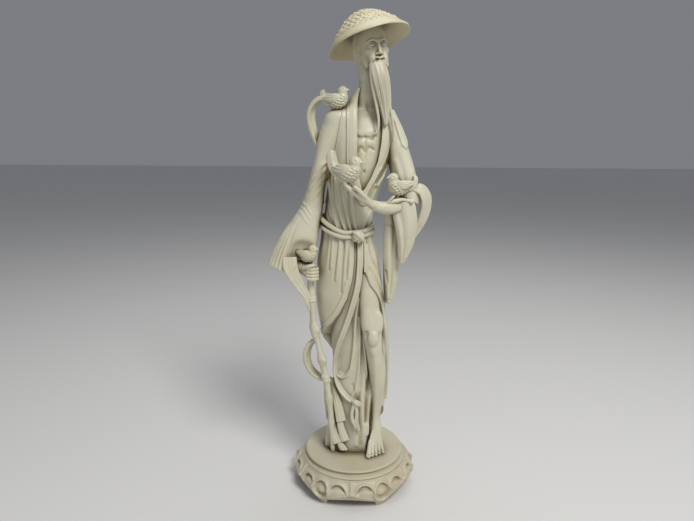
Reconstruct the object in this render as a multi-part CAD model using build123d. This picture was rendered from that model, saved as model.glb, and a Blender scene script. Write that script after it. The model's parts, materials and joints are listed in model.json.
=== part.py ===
from build123d import *
import os
from math import cos, sin, pi, radians, copysign, sqrt

# Carved sage on a turned plinth and a footed stand, built from pegged sections
# Millimetres, +Z up, the viewer looks along +Y, the stand rests on z = 0

# Fits
FIT_CLEARANCE = 0.1

# Footed stand
STAND_DIAMETER = 111.6
STAND_TOP_DIAMETER = 98.0
STAND_FOOT_DIAMETER = 103.0
STAND_HEIGHT = 24.5
STAND_WALL = 7.0
STAND_TOP_PLATE = 9.0
LOBE_DEPTH = 1.4
FOOT_COUNT = 6
FOOT_TURN = 27.0
ARCH_WIDTH = 42.0
ARCH_HEIGHT = 6.5
MEDALLION_DIAMETER = 12.0
MEDALLION_DEPTH = 1.2
MEDALLION_LEVEL = 13.0
CRESCENT_DIAMETER = 11.0
CRESCENT_DEPTH = 1.2
CRESCENT_TURN = 14.0

# Turned drum
DRUM_DIAMETER = 91.2
DRUM_WAIST_DIAMETER = 88.0
DRUM_FLARE_DIAMETER = 96.0
DRUM_HEIGHT = 7.0
DRUM_EDGE = 1.4
SPIGOT_DIAMETER = 40.0
SPIGOT_DEPTH = 4.0

# Base fixing, M6
BOLT_DIAMETER = 6.0
BOLT_LENGTH = 30.0
BOLT_HEAD_FLATS = 10.0
BOLT_HEAD_HEIGHT = 4.0
WASHER_DIAMETER = 12.0
WASHER_THICKNESS = 1.6
WASHER_BORE = 6.4
INSERT_DIAMETER = 8.0
INSERT_LENGTH = 12.7

# Lower robe
WAIST_LEVEL = 208.5
WAIST_TILT = 12.0
WAIST_WIDTH = 43.0
WAIST_DEPTH = 29.0
HIP_WIDTH = 52.0
HIP_DEPTH = 36.0
KNEE_WIDTH = 54.0
KNEE_DEPTH = 37.0
HEM_WIDTH = 58.0
HEM_DEPTH = 37.0
OVERSKIRT_STEP = 2.3
FLAP_REACH = 3.0
BACK_FOLDS = 7
BACK_FOLD_DEPTH = 1.3

# Bare leg and foot
LEG_THICKNESS = 16.0
LEG_GAP = 1.5
FOOT_LENGTH = 34.0
FOOT_WIDTH = 16.0
FOOT_PLACE = 20.0

# Belt and its cord
BELT_HEIGHT = 9.0
BELT_THICKNESS = 3.0
BELT_GAP = 0.7
KNOT_DIAMETER = 12.0
CORD_WIDTH = 6.0
CORD_THICKNESS = 3.0

# Upper robe and body
CHEST_WIDTH = 54.0
CHEST_DEPTH = 35.0
ROBE_WALL = 3.5
SHOULDER_LEVEL = 292.0
NECK_LEVEL = 331.0
NECK_DIAMETER = 17.0
LAPEL_WIDTH = 8.5
LAPEL_THICKNESS = 2.4

# Head, beard and hat
HEAD_WIDTH = 25.4
HEAD_DEPTH = 28.4
HEAD_HEIGHT = 49.0
BEARD_LENGTH = 54.0
BEARD_WIDTH = 16.0
HAT_DIAMETER = 69.6
HAT_HEIGHT = 26.0
HAT_HOLLOW = 15.0
HAT_RIM = 1.8
HAT_ROLL = 21.0
HAT_PITCH = -7.0

# Arms and sleeves
UPPER_SLEEVE_DIAMETER = 21.0
CUFF_WIDTH = 40.0
CUFF_PLEATS = 13
CUFF_PLEAT_DEPTH = 0.7
FOREARM_DIAMETER = 11.0
PALM_WIDTH = 14.0
FINGER_DIAMETER = 3.6
FINGER_LENGTH = 15.0

# Birds, staff and scarf
BIRD_LENGTH = 17.0
BIRD_GIRTH = 12.6
STAFF_DIAMETER = 6.6
STAFF_NODE = 1.3
SCARF_WIDTH = 9.0
SCARF_THICKNESS = 2.4

# Pegs
ROD_DIAMETER = 6.0
ROD_LENGTH = 90.0
DOWEL_DIAMETER = 5.0
DOWEL_LENGTH = 20.0
PIN_DIAMETER = 2.0
PIN_LENGTH = 8.0

FLOOR = STAND_HEIGHT + DRUM_HEIGHT
X_AXIS = Vector(1, 0, 0)
Y_AXIS = Vector(0, 1, 0)
Z_AXIS = Vector(0, 0, 1)


def at(x, y, h):
    # A place on the figure: h is the height above the drum's top
    return Vector(x, y, FLOOR + h)


def outline(centre, across, depth, half_a, half_b, power=2.0, count=12):
    # Closed smooth ring in the plane of two directions
    points = []
    for i in range(count):
        c = cos(2 * pi * i / count)
        s = sin(2 * pi * i / count)
        a = half_a * copysign(abs(c) ** (2 / power), c)
        b = half_b * copysign(abs(s) ** (2 / power), s)
        points.append(centre + across * a + depth * b)
    return Wire([Edge.make_spline(points, periodic=True)])


def even(rows, step):
    # Rows of vectors and numbers, taken again at equal steps along a smooth path
    reach = [0.0]
    for low, high in zip(rows, rows[1:]):
        reach.append(reach[-1] + (high[0] - low[0]).length)
    slopes = []
    for i in range(len(rows)):
        low = max(i - 1, 0)
        high = min(i + 1, len(rows) - 1)
        slopes.append((rows[high][0] - rows[low][0]) * (1 / (reach[high] - reach[low])))
    count = max(3, int(round(reach[-1] / step)) + 1)
    result = []
    span = 0
    for k in range(count):
        goal = reach[-1] * k / (count - 1)
        while span < len(rows) - 2 and goal > reach[span + 1]:
            span += 1
        gap = reach[span + 1] - reach[span]
        t = (goal - reach[span]) / gap
        ease = t * t * (3 - 2 * t)
        point = rows[span][0] * (1 - ease) + rows[span + 1][0] * ease
        point += slopes[span] * (gap * t * (1 - t) * (1 - t)) - slopes[span + 1] * (gap * t * t * (1 - t))
        rest = [a * (1 - t) + b * t for a, b in zip(rows[span][1:], rows[span + 1][1:])]
        result.append([point] + rest)
    return result


def level_loft(rows, power=2.0, step=15.0):
    # Rows of centre, half width and half depth, each with a depth direction
    wires = []
    for centre, half_a, half_b, depth in even(rows, step):
        wires.append(outline(centre, X_AXIS, depth.normalized(), half_a, half_b, power))
    return Solid.make_loft(wires)


def folded_loft(rows, count, depth, phase, weight, step=15.0, points=36):
    # Loft of oval rings whose rim runs in and out in folds where the weight says
    wires = []
    for centre, half_a, half_b, back in even(rows, step):
        ring = []
        for i in range(points):
            turn = 2 * pi * i / points - pi
            fold = depth * weight(turn) * cos(count * turn + phase(centre))
            out = X_AXIS * ((half_a + fold) * sin(turn)) - back.normalized() * ((half_b + fold) * cos(turn))
            ring.append(centre + out)
        wires.append(Wire([Edge.make_spline(ring, periodic=True)]))
    return Solid.make_loft(wires)


def limb(points, halves, side=Y_AXIS, power=2.0, count=12, step=0.0):
    # Loft along a path: halves are given across the side direction and along it
    wires = []
    if step:
        rows = even([[p, a, b] for p, (a, b) in zip(points, halves)], step)
        points = [row[0] for row in rows]
        halves = [(row[1], row[2]) for row in rows]
    last = len(points) - 1
    for i, point in enumerate(points):
        run = points[min(i + 1, last)] - points[max(i - 1, 0)]
        run = run.normalized()
        wide = side - run * side.dot(run)
        wide = wide.normalized()
        thick = run.cross(wide).normalized()
        a, b = halves[i]
        wires.append(outline(point, wide, thick, a, b, power, count))
    return Solid.make_loft(wires)


def pleated_limb(points, halves, count, depth, start, step=11.0, rim=40):
    # Limb whose rim breaks into pleats past the start share of its length
    rows = even([[p, a, b] for p, (a, b) in zip(points, halves)], step)
    last = len(rows) - 1
    wires = []
    for i, (point, a, b) in enumerate(rows):
        run = (rows[min(i + 1, last)][0] - rows[max(i - 1, 0)][0]).normalized()
        wide = (Y_AXIS - run * Y_AXIS.dot(run)).normalized()
        thick = run.cross(wide).normalized()
        pleat = depth * min(max((i / last - start) / (1 - start) * 1.6, 0.0), 1.0)
        ring = []
        for k in range(rim):
            turn = 2 * pi * k / rim
            out = pleat * cos(count * turn)
            ring.append(point + wide * ((a + out) * cos(turn)) + thick * ((b + out) * sin(turn)))
        wires.append(Wire([Edge.make_spline(ring, periodic=True)]))
    return Solid.make_loft(wires)


def rod(start, direction, length, diameter):
    plane = Plane(origin=start, z_dir=direction)
    return Solid.make_cylinder(diameter / 2, length, plane)


def ball(centre, diameter):
    return Pos(centre.X, centre.Y, centre.Z) * Sphere(diameter / 2)


def whole(shape):
    # The largest solid of a cut, so that no loose crumb stays with it
    return max(shape.solids(), key=lambda solid: solid.volume)


def joined(first, *others):
    result = first
    for other in others:
        result = result + other
    return whole(result)


def less(shape, *cutters):
    result = shape
    for cutter in cutters:
        result = result - cutter
    return whole(result)


def socket(pin_start, direction, length, diameter):
    # Hole for a peg, with clearance all round
    start = pin_start - direction * FIT_CLEARANCE
    return rod(start, direction, length + 2 * FIT_CLEARANCE, diameter + 2 * FIT_CLEARANCE)


def radial(turn, level, radius):
    # Plane facing outwards from the stand's axis
    a = radians(turn)
    out = Vector(sin(a), -cos(a), 0)
    return Plane(origin=out * radius + Vector(0, 0, level), x_dir=(cos(a), sin(a), 0), z_dir=out)


# Stand
def stand_ring(level, diameter, lobe):
    points = []
    count = FOOT_COUNT * 6
    for i in range(count):
        a = 2 * pi * i / count
        r = diameter / 2 - lobe * (1 - cos(FOOT_COUNT * (a - radians(FOOT_TURN)))) / 2
        points.append(Vector(r * sin(a), -r * cos(a), level))
    return Wire([Edge.make_spline(points, periodic=True)])


stand_levels = [
    (0.0, STAND_FOOT_DIAMETER, LOBE_DEPTH),
    (0.22 * STAND_HEIGHT, (STAND_FOOT_DIAMETER + STAND_DIAMETER) / 2, LOBE_DEPTH),
    (0.54 * STAND_HEIGHT, STAND_DIAMETER, LOBE_DEPTH),
    (0.82 * STAND_HEIGHT, (STAND_TOP_DIAMETER + STAND_DIAMETER) / 2, LOBE_DEPTH / 2),
    (STAND_HEIGHT, STAND_TOP_DIAMETER, 0.0),
]
stand = Solid.make_loft([stand_ring(*row) for row in stand_levels])
hollow_radius = STAND_FOOT_DIAMETER / 2 - STAND_WALL
stand_cuts = [
    Pos(0, 0, (STAND_HEIGHT - STAND_TOP_PLATE) / 2 - 1)
    * Cylinder(hollow_radius, STAND_HEIGHT - STAND_TOP_PLATE + 2),
    Pos(0, 0, STAND_HEIGHT - SPIGOT_DEPTH / 2 + 0.5)
    * Cylinder(SPIGOT_DIAMETER / 2 + FIT_CLEARANCE, SPIGOT_DEPTH + 1),
    Pos(0, 0, STAND_HEIGHT / 2) * Cylinder(BOLT_DIAMETER / 2 + 2 * FIT_CLEARANCE, STAND_HEIGHT * 2),
]
for i in range(FOOT_COUNT):
    foot_turn = FOOT_TURN + i * 360 / FOOT_COUNT
    arch_turn = foot_turn + 180 / FOOT_COUNT
    arch = RectangleRounded(ARCH_WIDTH, 2 * ARCH_HEIGHT, ARCH_HEIGHT * 0.9)
    stand_cuts.append(extrude(radial(arch_turn, 0, hollow_radius - 8) * arch, STAND_WALL + 24))
    medallion_floor = STAND_DIAMETER / 2 - MEDALLION_DEPTH
    medallion = Circle(MEDALLION_DIAMETER / 2) - Circle(MEDALLION_DIAMETER / 2 - 2)
    stand_cuts.append(extrude(radial(foot_turn, MEDALLION_LEVEL, medallion_floor) * medallion, 6))
    for side in (-1, 1):
        crescent = Circle(CRESCENT_DIAMETER / 2) - Pos(0, -CRESCENT_DIAMETER * 0.4) * Circle(
            CRESCENT_DIAMETER / 2,
        )
        crescent_floor = STAND_DIAMETER / 2 - LOBE_DEPTH - CRESCENT_DEPTH
        place = radial(arch_turn + side * CRESCENT_TURN / 2, MEDALLION_LEVEL + 1, crescent_floor)
        stand_cuts.append(extrude(place * crescent, 6))
stand_base = less(stand, *stand_cuts)

# Drum
with BuildSketch(Plane.XZ) as drum_profile:
    with BuildLine():
        edge = DRUM_DIAMETER / 2
        Polyline(
            (0, STAND_HEIGHT - SPIGOT_DEPTH),
            (SPIGOT_DIAMETER / 2, STAND_HEIGHT - SPIGOT_DEPTH),
            (SPIGOT_DIAMETER / 2, STAND_HEIGHT),
            (DRUM_FLARE_DIAMETER / 2, STAND_HEIGHT),
            (DRUM_FLARE_DIAMETER / 2, STAND_HEIGHT + 1.2),
        )
        ThreePointArc(
            (DRUM_FLARE_DIAMETER / 2, STAND_HEIGHT + 1.2),
            (DRUM_WAIST_DIAMETER / 2 + 0.4, STAND_HEIGHT + 0.42 * DRUM_HEIGHT),
            (edge, FLOOR - 2 * DRUM_EDGE),
        )
        Polyline((edge, FLOOR - 2 * DRUM_EDGE), (edge, FLOOR - DRUM_EDGE))
        RadiusArc((edge, FLOOR - DRUM_EDGE), (edge - DRUM_EDGE, FLOOR), -DRUM_EDGE)
        Polyline((edge - DRUM_EDGE, FLOOR), (0, FLOOR), (0, STAND_HEIGHT - SPIGOT_DEPTH))
    make_face()
drum_blank = revolve(drum_profile.sketch, Axis.Z)

# Base fixing: washer and head under the stand's top plate
plate_under = STAND_HEIGHT - STAND_TOP_PLATE
washer_low = plate_under - WASHER_THICKNESS
bolt_washer = Pos(0, 0, plate_under - WASHER_THICKNESS / 2) * (
    Cylinder(WASHER_DIAMETER / 2, WASHER_THICKNESS) - Cylinder(WASHER_BORE / 2, WASHER_THICKNESS)
)
bolt_head = extrude(
    Plane(origin=(0, 0, washer_low - BOLT_HEAD_HEIGHT)) * RegularPolygon(
        BOLT_HEAD_FLATS / 2, 6, major_radius=False,
    ),
    BOLT_HEAD_HEIGHT,
)
bolt_shank = rod(Vector(0, 0, washer_low - 0.5), Z_AXIS, BOLT_LENGTH + 0.5, BOLT_DIAMETER)
fixing_bolt = joined(bolt_head, bolt_shank)
insert_blank = rod(at(0, 0, 0), Z_AXIS, INSERT_LENGTH, INSERT_DIAMETER)
insert_bore = rod(at(0, 0, -1), Z_AXIS, INSERT_LENGTH + 2, BOLT_DIAMETER + 2 * FIT_CLEARANCE)
threaded_insert = less(insert_blank, insert_bore)
insert_hole = rod(at(0, 0, -1), Z_AXIS, max(INSERT_LENGTH, BOLT_LENGTH) + 4, INSERT_DIAMETER)

# Lower robe sections: height share, lean across, lean back, width, depth
tilt = radians(WAIST_TILT)
waist_depth_axis = Vector(0, cos(tilt), sin(tilt))
waist_up = Vector(0, -sin(tilt), cos(tilt))
waist_centre = at(-8, 0, WAIST_LEVEL)
SKIRT_ROWS = [
    (0.00, 0.5, 0.5, HEM_WIDTH, HEM_DEPTH),
    (0.14, 2.0, 1.0, (HEM_WIDTH + KNEE_WIDTH) / 2, (HEM_DEPTH + KNEE_DEPTH) / 2),
    (0.33, 5.0, 2.0, KNEE_WIDTH - 1, KNEE_DEPTH - 1),
    (0.52, 3.5, 2.0, KNEE_WIDTH, KNEE_DEPTH),
    (0.70, -2.0, 1.0, KNEE_WIDTH + 2, KNEE_DEPTH + 1),
    (0.85, -5.5, 0.5, HIP_WIDTH, HIP_DEPTH),
]


WAIST_ROW = (1.0, -8.0, 0.0, WAIST_WIDTH, WAIST_DEPTH)


def skirt_row(h):
    # Centre and sizes of the inner skirt at a height
    rows = SKIRT_ROWS + [WAIST_ROW]
    share = min(max(h / WAIST_LEVEL, 0.0), 1.0)
    for low, high in zip(rows, rows[1:]):
        if share <= high[0]:
            k = (share - low[0]) / (high[0] - low[0])
            cx, cy, width, depth = [a + (b - a) * k for a, b in zip(low[1:], high[1:])]
            return cx, cy, width - 2 * OVERSKIRT_STEP, depth - 2 * OVERSKIRT_STEP


def skirt_front(x, h, off=0.0):
    # Place on the front of the inner skirt, or a little in front of it
    cx, cy, width, depth = skirt_row(h)
    share = min(abs(x - cx) / (width / 2), 0.98)
    return at(x, cy - depth / 2 * sqrt(1 - share * share) - off, h)


def back_weight(turn):
    # Folds run behind the figure and fade out at its sides
    k = min(max((abs(turn) - 1.35) / 0.55, 0.0), 1.0)
    return k * k * (3 - 2 * k)


def skirt_layer(inset, flap):
    rows = []
    for share, cx, cy, width, depth in SKIRT_ROWS:
        reach = flap if 0.4 < share < 0.8 else 0.0
        half = width / 2 - inset + reach / 2
        rows.append((at(cx - reach / 2, cy, share * WAIST_LEVEL), half, depth / 2 - inset, Y_AXIS))
    rows.append((waist_centre, WAIST_WIDTH / 2 - inset, WAIST_DEPTH / 2 - inset, waist_depth_axis))
    sway = lambda centre: 2.4 * sin((centre.Z - FLOOR) / 37)
    return folded_loft(rows, BACK_FOLDS, BACK_FOLD_DEPTH, sway, back_weight)


# Overskirt: open in front between the wrapped edge and the thigh, with a slanting hem behind
grow = WAIST_LEVEL / 208.5
open_front = [
    (-1.7, 240), (-1.6, 182), (-7.4, 149), (-14.4, 135), (-29, 118.5), (-60, 112), (-60, -10), (60, -10),
    (60, 47),
    (31, 47.5), (29.5, 107), (25.1, 132.5), (18.3, 147), (10, 161.5), (6.6, 178), (6.6, 240),
]
open_back = [(-60, 112), (-32, 114), (0, 62), (32, 45), (60, 47), (60, -10), (-60, -10)]


def hem_cut(line, way):
    face = make_face(Polyline(*[at(x, 0, h * grow) for x, h in line], close=True))
    return extrude(face, 60, dir=(0, way, 0))


overskirt = less(skirt_layer(0.0, FLAP_REACH), hem_cut(open_front, -1), hem_cut(open_back, 1))
skirt_blank = joined(skirt_layer(OVERSKIRT_STEP, 0.0), overskirt)

# Leg and foot
half_leg = LEG_THICKNESS / 2
leg_line = [(-11, -6, 0.80), (-8, -11, 0.67), (-4.8, -15.3, 0.555), (-2.2, -13.8, 0.46), (0.4, -10, 0.36)]
leg_line += [(0.6, -6.3, 0.23), (0.2, -4.6, 0.145), (0, -4, 0.06)]
leg_points = [at(FOOT_PLACE + x, y, share * WAIST_LEVEL) for x, y, share in leg_line]
leg_shares = [1.2, 1.2, 1.02, 0.98, 1.02, 0.8, 0.62, 0.66]
leg_blank = limb(leg_points, [(half_leg * s, half_leg * s) for s in leg_shares], X_AXIS)
well_points = leg_points[3:] + [at(FOOT_PLACE, -4, -2)]
well_shares = leg_shares[3:] + [0.9]
leg_well = limb(well_points, [(half_leg * s + LEG_GAP, half_leg * s + LEG_GAP) for s in well_shares], X_AXIS)
ankle_level = 0.075 * WAIST_LEVEL
heel_y = FOOT_LENGTH * 0.27
half_foot = FOOT_WIDTH / 2
foot_line = [
    (0.0, 0.62, 4.6), (0.16, 0.78, 6.6), (0.38, 0.84, 6.4), (0.62, 0.98, 4.6), (0.80, 1.0, 3.2),
    (0.92, 0.9, 2.4),
]
foot_points = [at(FOOT_PLACE, heel_y - FOOT_LENGTH * s, high) for s, wide, high in foot_line]
foot_body = limb(foot_points, [(half_foot * w, high) for s, w, high in foot_line], X_AXIS, 2.6)
instep = limb(
    [at(FOOT_PLACE, -4, ankle_level + 2), at(FOOT_PLACE, -4, ankle_level * 0.6), at(FOOT_PLACE, -5, 3)],
    [
        (half_leg * 0.68, half_leg * 0.68), (half_leg * 0.72, half_leg * 0.8),
        (half_leg * 0.75, half_leg * 0.9),
    ],
    X_AXIS,
)
toes = []
for i in range(5):
    toe_x = FOOT_PLACE + FOOT_WIDTH * (-0.4 + 0.2 * i)
    toe_r = FOOT_WIDTH * (0.15 if i == 0 else 0.115)
    toe_y = heel_y - FOOT_LENGTH * (0.94 - 0.03 * i)
    toes.append(ball(at(toe_x, toe_y, toe_r + 0.05), 2 * toe_r))
foot_blank = joined(foot_body, instep, *toes)
foot_room = Pos(FOOT_PLACE, heel_y - FOOT_LENGTH / 2, FLOOR + 6) * Box(
    FOOT_WIDTH + 3 * LEG_GAP, FOOT_LENGTH + 4 * LEG_GAP, 16,
)

# Upper robe and body rows, from the tilted waist to the collar
CHEST_ROWS = [
    (0.00, -8.0, 0.0, WAIST_WIDTH, WAIST_DEPTH),
    (0.28, -4.5, 0.0, CHEST_WIDTH * 0.8, CHEST_DEPTH * 0.89),
    (0.56, 0.5, 0.0, CHEST_WIDTH * 0.89, CHEST_DEPTH * 0.97),
    (0.80, 4.0, 0.5, CHEST_WIDTH * 0.98, CHEST_DEPTH),
    (1.00, 6.0, 1.0, CHEST_WIDTH, CHEST_DEPTH * 0.95),
    (1.14, 7.0, 2.0, CHEST_WIDTH * 0.87, CHEST_DEPTH * 0.82),
    (1.25, 7.5, 3.0, CHEST_WIDTH * 0.6, CHEST_DEPTH * 0.68),
    (1.32, 8.0, 3.5, CHEST_WIDTH * 0.44, CHEST_DEPTH * 0.58),
]
chest_rise = SHOULDER_LEVEL - WAIST_LEVEL


def chest_row(h):
    share = min(max((h - WAIST_LEVEL) / chest_rise, 0.0), 1.3)
    for low, high in zip(CHEST_ROWS, CHEST_ROWS[1:]):
        if share <= high[0]:
            k = (share - low[0]) / (high[0] - low[0])
            return [a + (b - a) * k for a, b in zip(low[1:], high[1:])]


def chest_front(x, h, off=0.0):
    cx, cy, width, depth = chest_row(h)
    share = min(abs(x - cx) / (width / 2), 0.98)
    return at(x, cy - depth / 2 * sqrt(1 - share * share) - off, h)


robe_rows = []
body_rows = []
for share, cx, cy, width, depth in CHEST_ROWS:
    centre = at(cx, cy, WAIST_LEVEL + share * chest_rise)
    way = waist_depth_axis if share == 0 else Y_AXIS
    robe_rows.append((centre, width / 2, depth / 2, way))
    if share < 1.2:
        body_rows.append((centre, width / 2 - ROBE_WALL, depth / 2 - ROBE_WALL, way))
neck_half = NECK_DIAMETER / 2
collar_level = WAIST_LEVEL + 1.25 * chest_rise
body_rows.append((at(8, 2, collar_level), neck_half + 1.2, neck_half, Y_AXIS))
body_rows.append((at(9, 0, (collar_level + NECK_LEVEL) / 2), neck_half + 0.2, neck_half - 0.2, Y_AXIS))
body_rows.append((at(10, -1, NECK_LEVEL), neck_half, neck_half, Y_AXIS))
robe_blank = level_loft(robe_rows)
body_blank = level_loft(body_rows)

# Open front of the upper robe, between the two lapels
lap = SHOULDER_LEVEL
opening = [
    (0, lap + 50), (0, lap - 38), (4, lap - 55), (10, lap - 42), (18.5, lap - 20), (22, lap - 7),
    (24, lap + 5), (24, lap + 50),
]
opening_face = make_face(Polyline(*[at(x, 0, h) for x, h in opening], close=True))
opening_cut = extrude(opening_face, 60, dir=(0, -1, 0))
right_lapel_line = [(-4.5, lap + 24), (-4.5, lap + 5), (-4.5, lap - 20), (-3.5, lap - 42), (0, lap - 62)]
left_lapel_line = [(23.5, lap + 12), (24.5, lap - 4), (21.5, lap - 22), (13.5, lap - 42), (3, lap - 64)]


def lapel(line):
    points = [chest_front(x, h, 0.2) for x, h in line]
    halves = [(LAPEL_WIDTH / 2, LAPEL_THICKNESS / 2)] * len(points)
    return limb(points, halves, X_AXIS, 4.0)


# Belt on the tilted waist
belt_plane = Plane(origin=waist_centre - waist_up * (BELT_HEIGHT / 2), x_dir=(1, 0, 0), z_dir=waist_up)
belt_a = WAIST_WIDTH / 2 + BELT_GAP
belt_b = WAIST_DEPTH / 2 + BELT_GAP
belt_out = extrude(belt_plane * Ellipse(belt_a + BELT_THICKNESS, belt_b + BELT_THICKNESS), BELT_HEIGHT)
belt_out = fillet(belt_out.edges(), BELT_THICKNESS * 0.8)
belt_bore = extrude(belt_plane * Ellipse(belt_a, belt_b), BELT_HEIGHT)

# Head rows, from the neck to the crown under the hat
HEAD_ROWS = [
    (0.00, 10.0, -1.0, NECK_DIAMETER, NECK_DIAMETER),
    (0.14, 11.0, -3.0, HEAD_WIDTH * 0.80, HEAD_DEPTH * 0.78),
    (0.28, 12.0, -4.5, HEAD_WIDTH * 0.92, HEAD_DEPTH * 0.92),
    (0.49, 12.3, -4.5, HEAD_WIDTH, HEAD_DEPTH),
    (0.68, 12.0, -4.0, HEAD_WIDTH, HEAD_DEPTH),
    (0.86, 11.5, -3.5, HEAD_WIDTH * 0.85, HEAD_DEPTH * 0.83),
    (1.00, 11.2, -3.5, HEAD_WIDTH * 0.5, HEAD_DEPTH * 0.5),
]
head_rows = []
for share, cx, cy, width, depth in HEAD_ROWS:
    head_rows.append((at(cx, cy, NECK_LEVEL + share * HEAD_HEIGHT), width / 2, depth / 2, Y_AXIS))
face_y = -4.5 - HEAD_DEPTH / 2
nose = limb(
    [at(13, face_y + 2, NECK_LEVEL + 0.58 * HEAD_HEIGHT), at(
        13.2, face_y - 1, NECK_LEVEL + 0.44 * HEAD_HEIGHT,
    ),
     at(13.3, face_y + 0.5, NECK_LEVEL + 0.39 * HEAD_HEIGHT)],
    [(1.4, 1.6), (2.2, 2.2), (1.6, 1.2)],
    X_AXIS,
)
ears = []
for side in (-1, 1):
    ear_x = 12.2 + side * (HEAD_WIDTH / 2)
    ears.append(limb(
        [at(ear_x, -2, NECK_LEVEL + 0.58 * HEAD_HEIGHT), at(ear_x, -2.5, NECK_LEVEL + 0.46 * HEAD_HEIGHT),
         at(ear_x - side * 0.6, -3, NECK_LEVEL + 0.30 * HEAD_HEIGHT)],
        [(2.6, 1.2), (3.0, 1.3), (1.6, 1.0)],
    ))
head_blank = joined(level_loft(head_rows, step=7.0), nose, *ears)

# Beard: a long lock from the chin, bending right and back to its tip
BEARD_LINE = [
    (14.5, -15.5, 0.0, 1.0), (17, -17, 0.18, 1.0), (19.5, -16.5, 0.39, 0.86), (21, -15.5, 0.60, 0.68),
    (18.5, -15, 0.80, 0.45), (14, -15.5, 1.0, 0.1),
]
beard_top = NECK_LEVEL + 0.27 * HEAD_HEIGHT
beard_points = [at(x, y, beard_top - s * BEARD_LENGTH) for x, y, s, w in BEARD_LINE]
beard_halves = [(BEARD_WIDTH / 2 * w, BEARD_WIDTH * 0.3 * w) for x, y, s, w in BEARD_LINE]
beard_blank = limb(beard_points, beard_halves, X_AXIS)

# Hat: a rolled straw dome with a hollow underside
hat_level = NECK_LEVEL + 0.655 * HEAD_HEIGHT
hat_place = Location((9, -5, FLOOR + hat_level), (HAT_PITCH, -HAT_ROLL, 0))
hat_r = HAT_DIAMETER / 2
with BuildSketch(Plane.XZ) as hat_profile:
    with BuildLine():
        Spline(
            (hat_r, 0), (hat_r * 0.72, HAT_HEIGHT * 0.37), (hat_r * 0.43, HAT_HEIGHT * 0.72),
            (0, HAT_HEIGHT), tangents=[(-1, 0.8), (-1, 0)],
        )
        Polyline((0, HAT_HEIGHT), (0, HAT_HOLLOW))
        Spline(
            (0, HAT_HOLLOW), (hat_r * 0.46, HAT_HOLLOW * 0.85), (hat_r * 0.74, HAT_HOLLOW * 0.45),
            (hat_r - HAT_RIM, -HAT_RIM * 0.4),
        )
        Polyline((hat_r - HAT_RIM, -HAT_RIM * 0.4), (hat_r, 0))
    make_face()
hat_blank = hat_place * revolve(hat_profile.sketch, Axis.Z)

# Sleeves
half_sleeve = UPPER_SLEEVE_DIAMETER / 2
lift = SHOULDER_LEVEL
right_sleeve_line = [
    (-6, 2, 10, 0.90), (-17, 2, 7, 0.97), (-25, 1.2, -8, 0.80), (-29.5, 0, -24, 0.66),
    (-34.5, -1.5, -46, 0.70),
    (-38.5, -3, -65, 0.92), (-44.5, -5, -81, 1.26),
]
half_cuff = CUFF_WIDTH / 2
right_points = [at(x, y, lift + dz) for x, y, dz, a in right_sleeve_line]
right_points += [at(-51.5, -8, lift - 97), at(-57.5, -9.5, lift - 111), at(-62.5, -11, lift - 123)]
right_halves = [(half_sleeve * 1.02, half_sleeve * a) for x, y, dz, a in right_sleeve_line]
right_halves += [
    (half_sleeve, half_cuff * 0.85), (half_sleeve * 0.95, half_cuff * 0.97), (half_sleeve * 0.9, half_cuff),
]
right_sleeve_full = pleated_limb(right_points, right_halves, CUFF_PLEATS, CUFF_PLEAT_DEPTH, 0.62)
cuff_level = lift - 117
cuff_cut = Pos(-50, 0, FLOOR + cuff_level - 30) * Box(120, 120, 60)
cuff_mouth = limb(
    [at(-46, -9, cuff_level + 13), at(-48, -10, cuff_level + 6), at(-50, -11, cuff_level - 4)],
    [(4.5, 5.5), (6.5, 9.0), (7.0, 10.5)],
)
right_sleeve_blank = less(right_sleeve_full, cuff_cut)
left_sleeve_line = [
    (24, 2, 8, 1.0, 1.1), (35, 0, -17, 0.95, 1.12), (41, -3, -40, 1.0, 1.14), (42.5, -7, -60, 1.04, 1.1),
]
left_points = [at(x, y, lift + dz) for x, y, dz, a, b in left_sleeve_line]
left_halves = [(half_sleeve * b, half_sleeve * a) for x, y, dz, a, b in left_sleeve_line]
left_sleeve_blank = limb(left_points, left_halves)

# Left forearm and open hand, palm up
half_arm = FOREARM_DIAMETER / 2
hand_level = lift - 60
wrist = at(12.5, -26, hand_level)
forearm = limb(
    [at(40, -9, hand_level + 1), at(32, -17, hand_level - 1.5), at(23, -22.5, hand_level - 1.5), wrist],
    [
        (half_arm * 1.2, half_arm * 1.2), (half_arm * 1.1, half_arm * 1.1),
        (half_arm * 0.95, half_arm * 0.9), (half_arm * 0.85, half_arm * 0.72),
    ],
)
hand_run = Vector(-0.74, 0, 0.67)
palm_up = Vector(0.67, 0, 0.74)
palm_end = wrist + hand_run * 20 + Vector(0, -2, -2)
palm = limb(
    [wrist - hand_run * 1 + Vector(1, 0.3, 1), wrist + hand_run * 7 + Vector(0, -0.6, -1), palm_end],
    [(half_arm * 0.85, half_arm * 0.7), (PALM_WIDTH * 0.48, 3.2), (PALM_WIDTH / 2, 2.6)],
)
half_finger = FINGER_DIAMETER / 2
fingers = []
for i in range(4):
    root = palm_end + Vector(0, PALM_WIDTH * (-0.375 + 0.25 * i), 0) - hand_run * 2
    reach = FINGER_LENGTH * (0.86, 1.0, 0.97, 0.78)[i] + 2
    curl = palm_up * (0.12 * FINGER_LENGTH)
    fingers.append(limb(
        [
            root, root + hand_run * (reach * 0.5), root + hand_run * (reach * 0.8) + curl * 0.4,
            root + hand_run * reach + curl,
        ],
        [
            (half_finger, half_finger), (half_finger * 0.95, half_finger * 0.95),
            (half_finger * 0.85, half_finger * 0.85), (half_finger * 0.5, half_finger * 0.5),
        ],
    ))
thumb_root = wrist + hand_run * 4 + Vector(0, -PALM_WIDTH * 0.32, 0)
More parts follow.
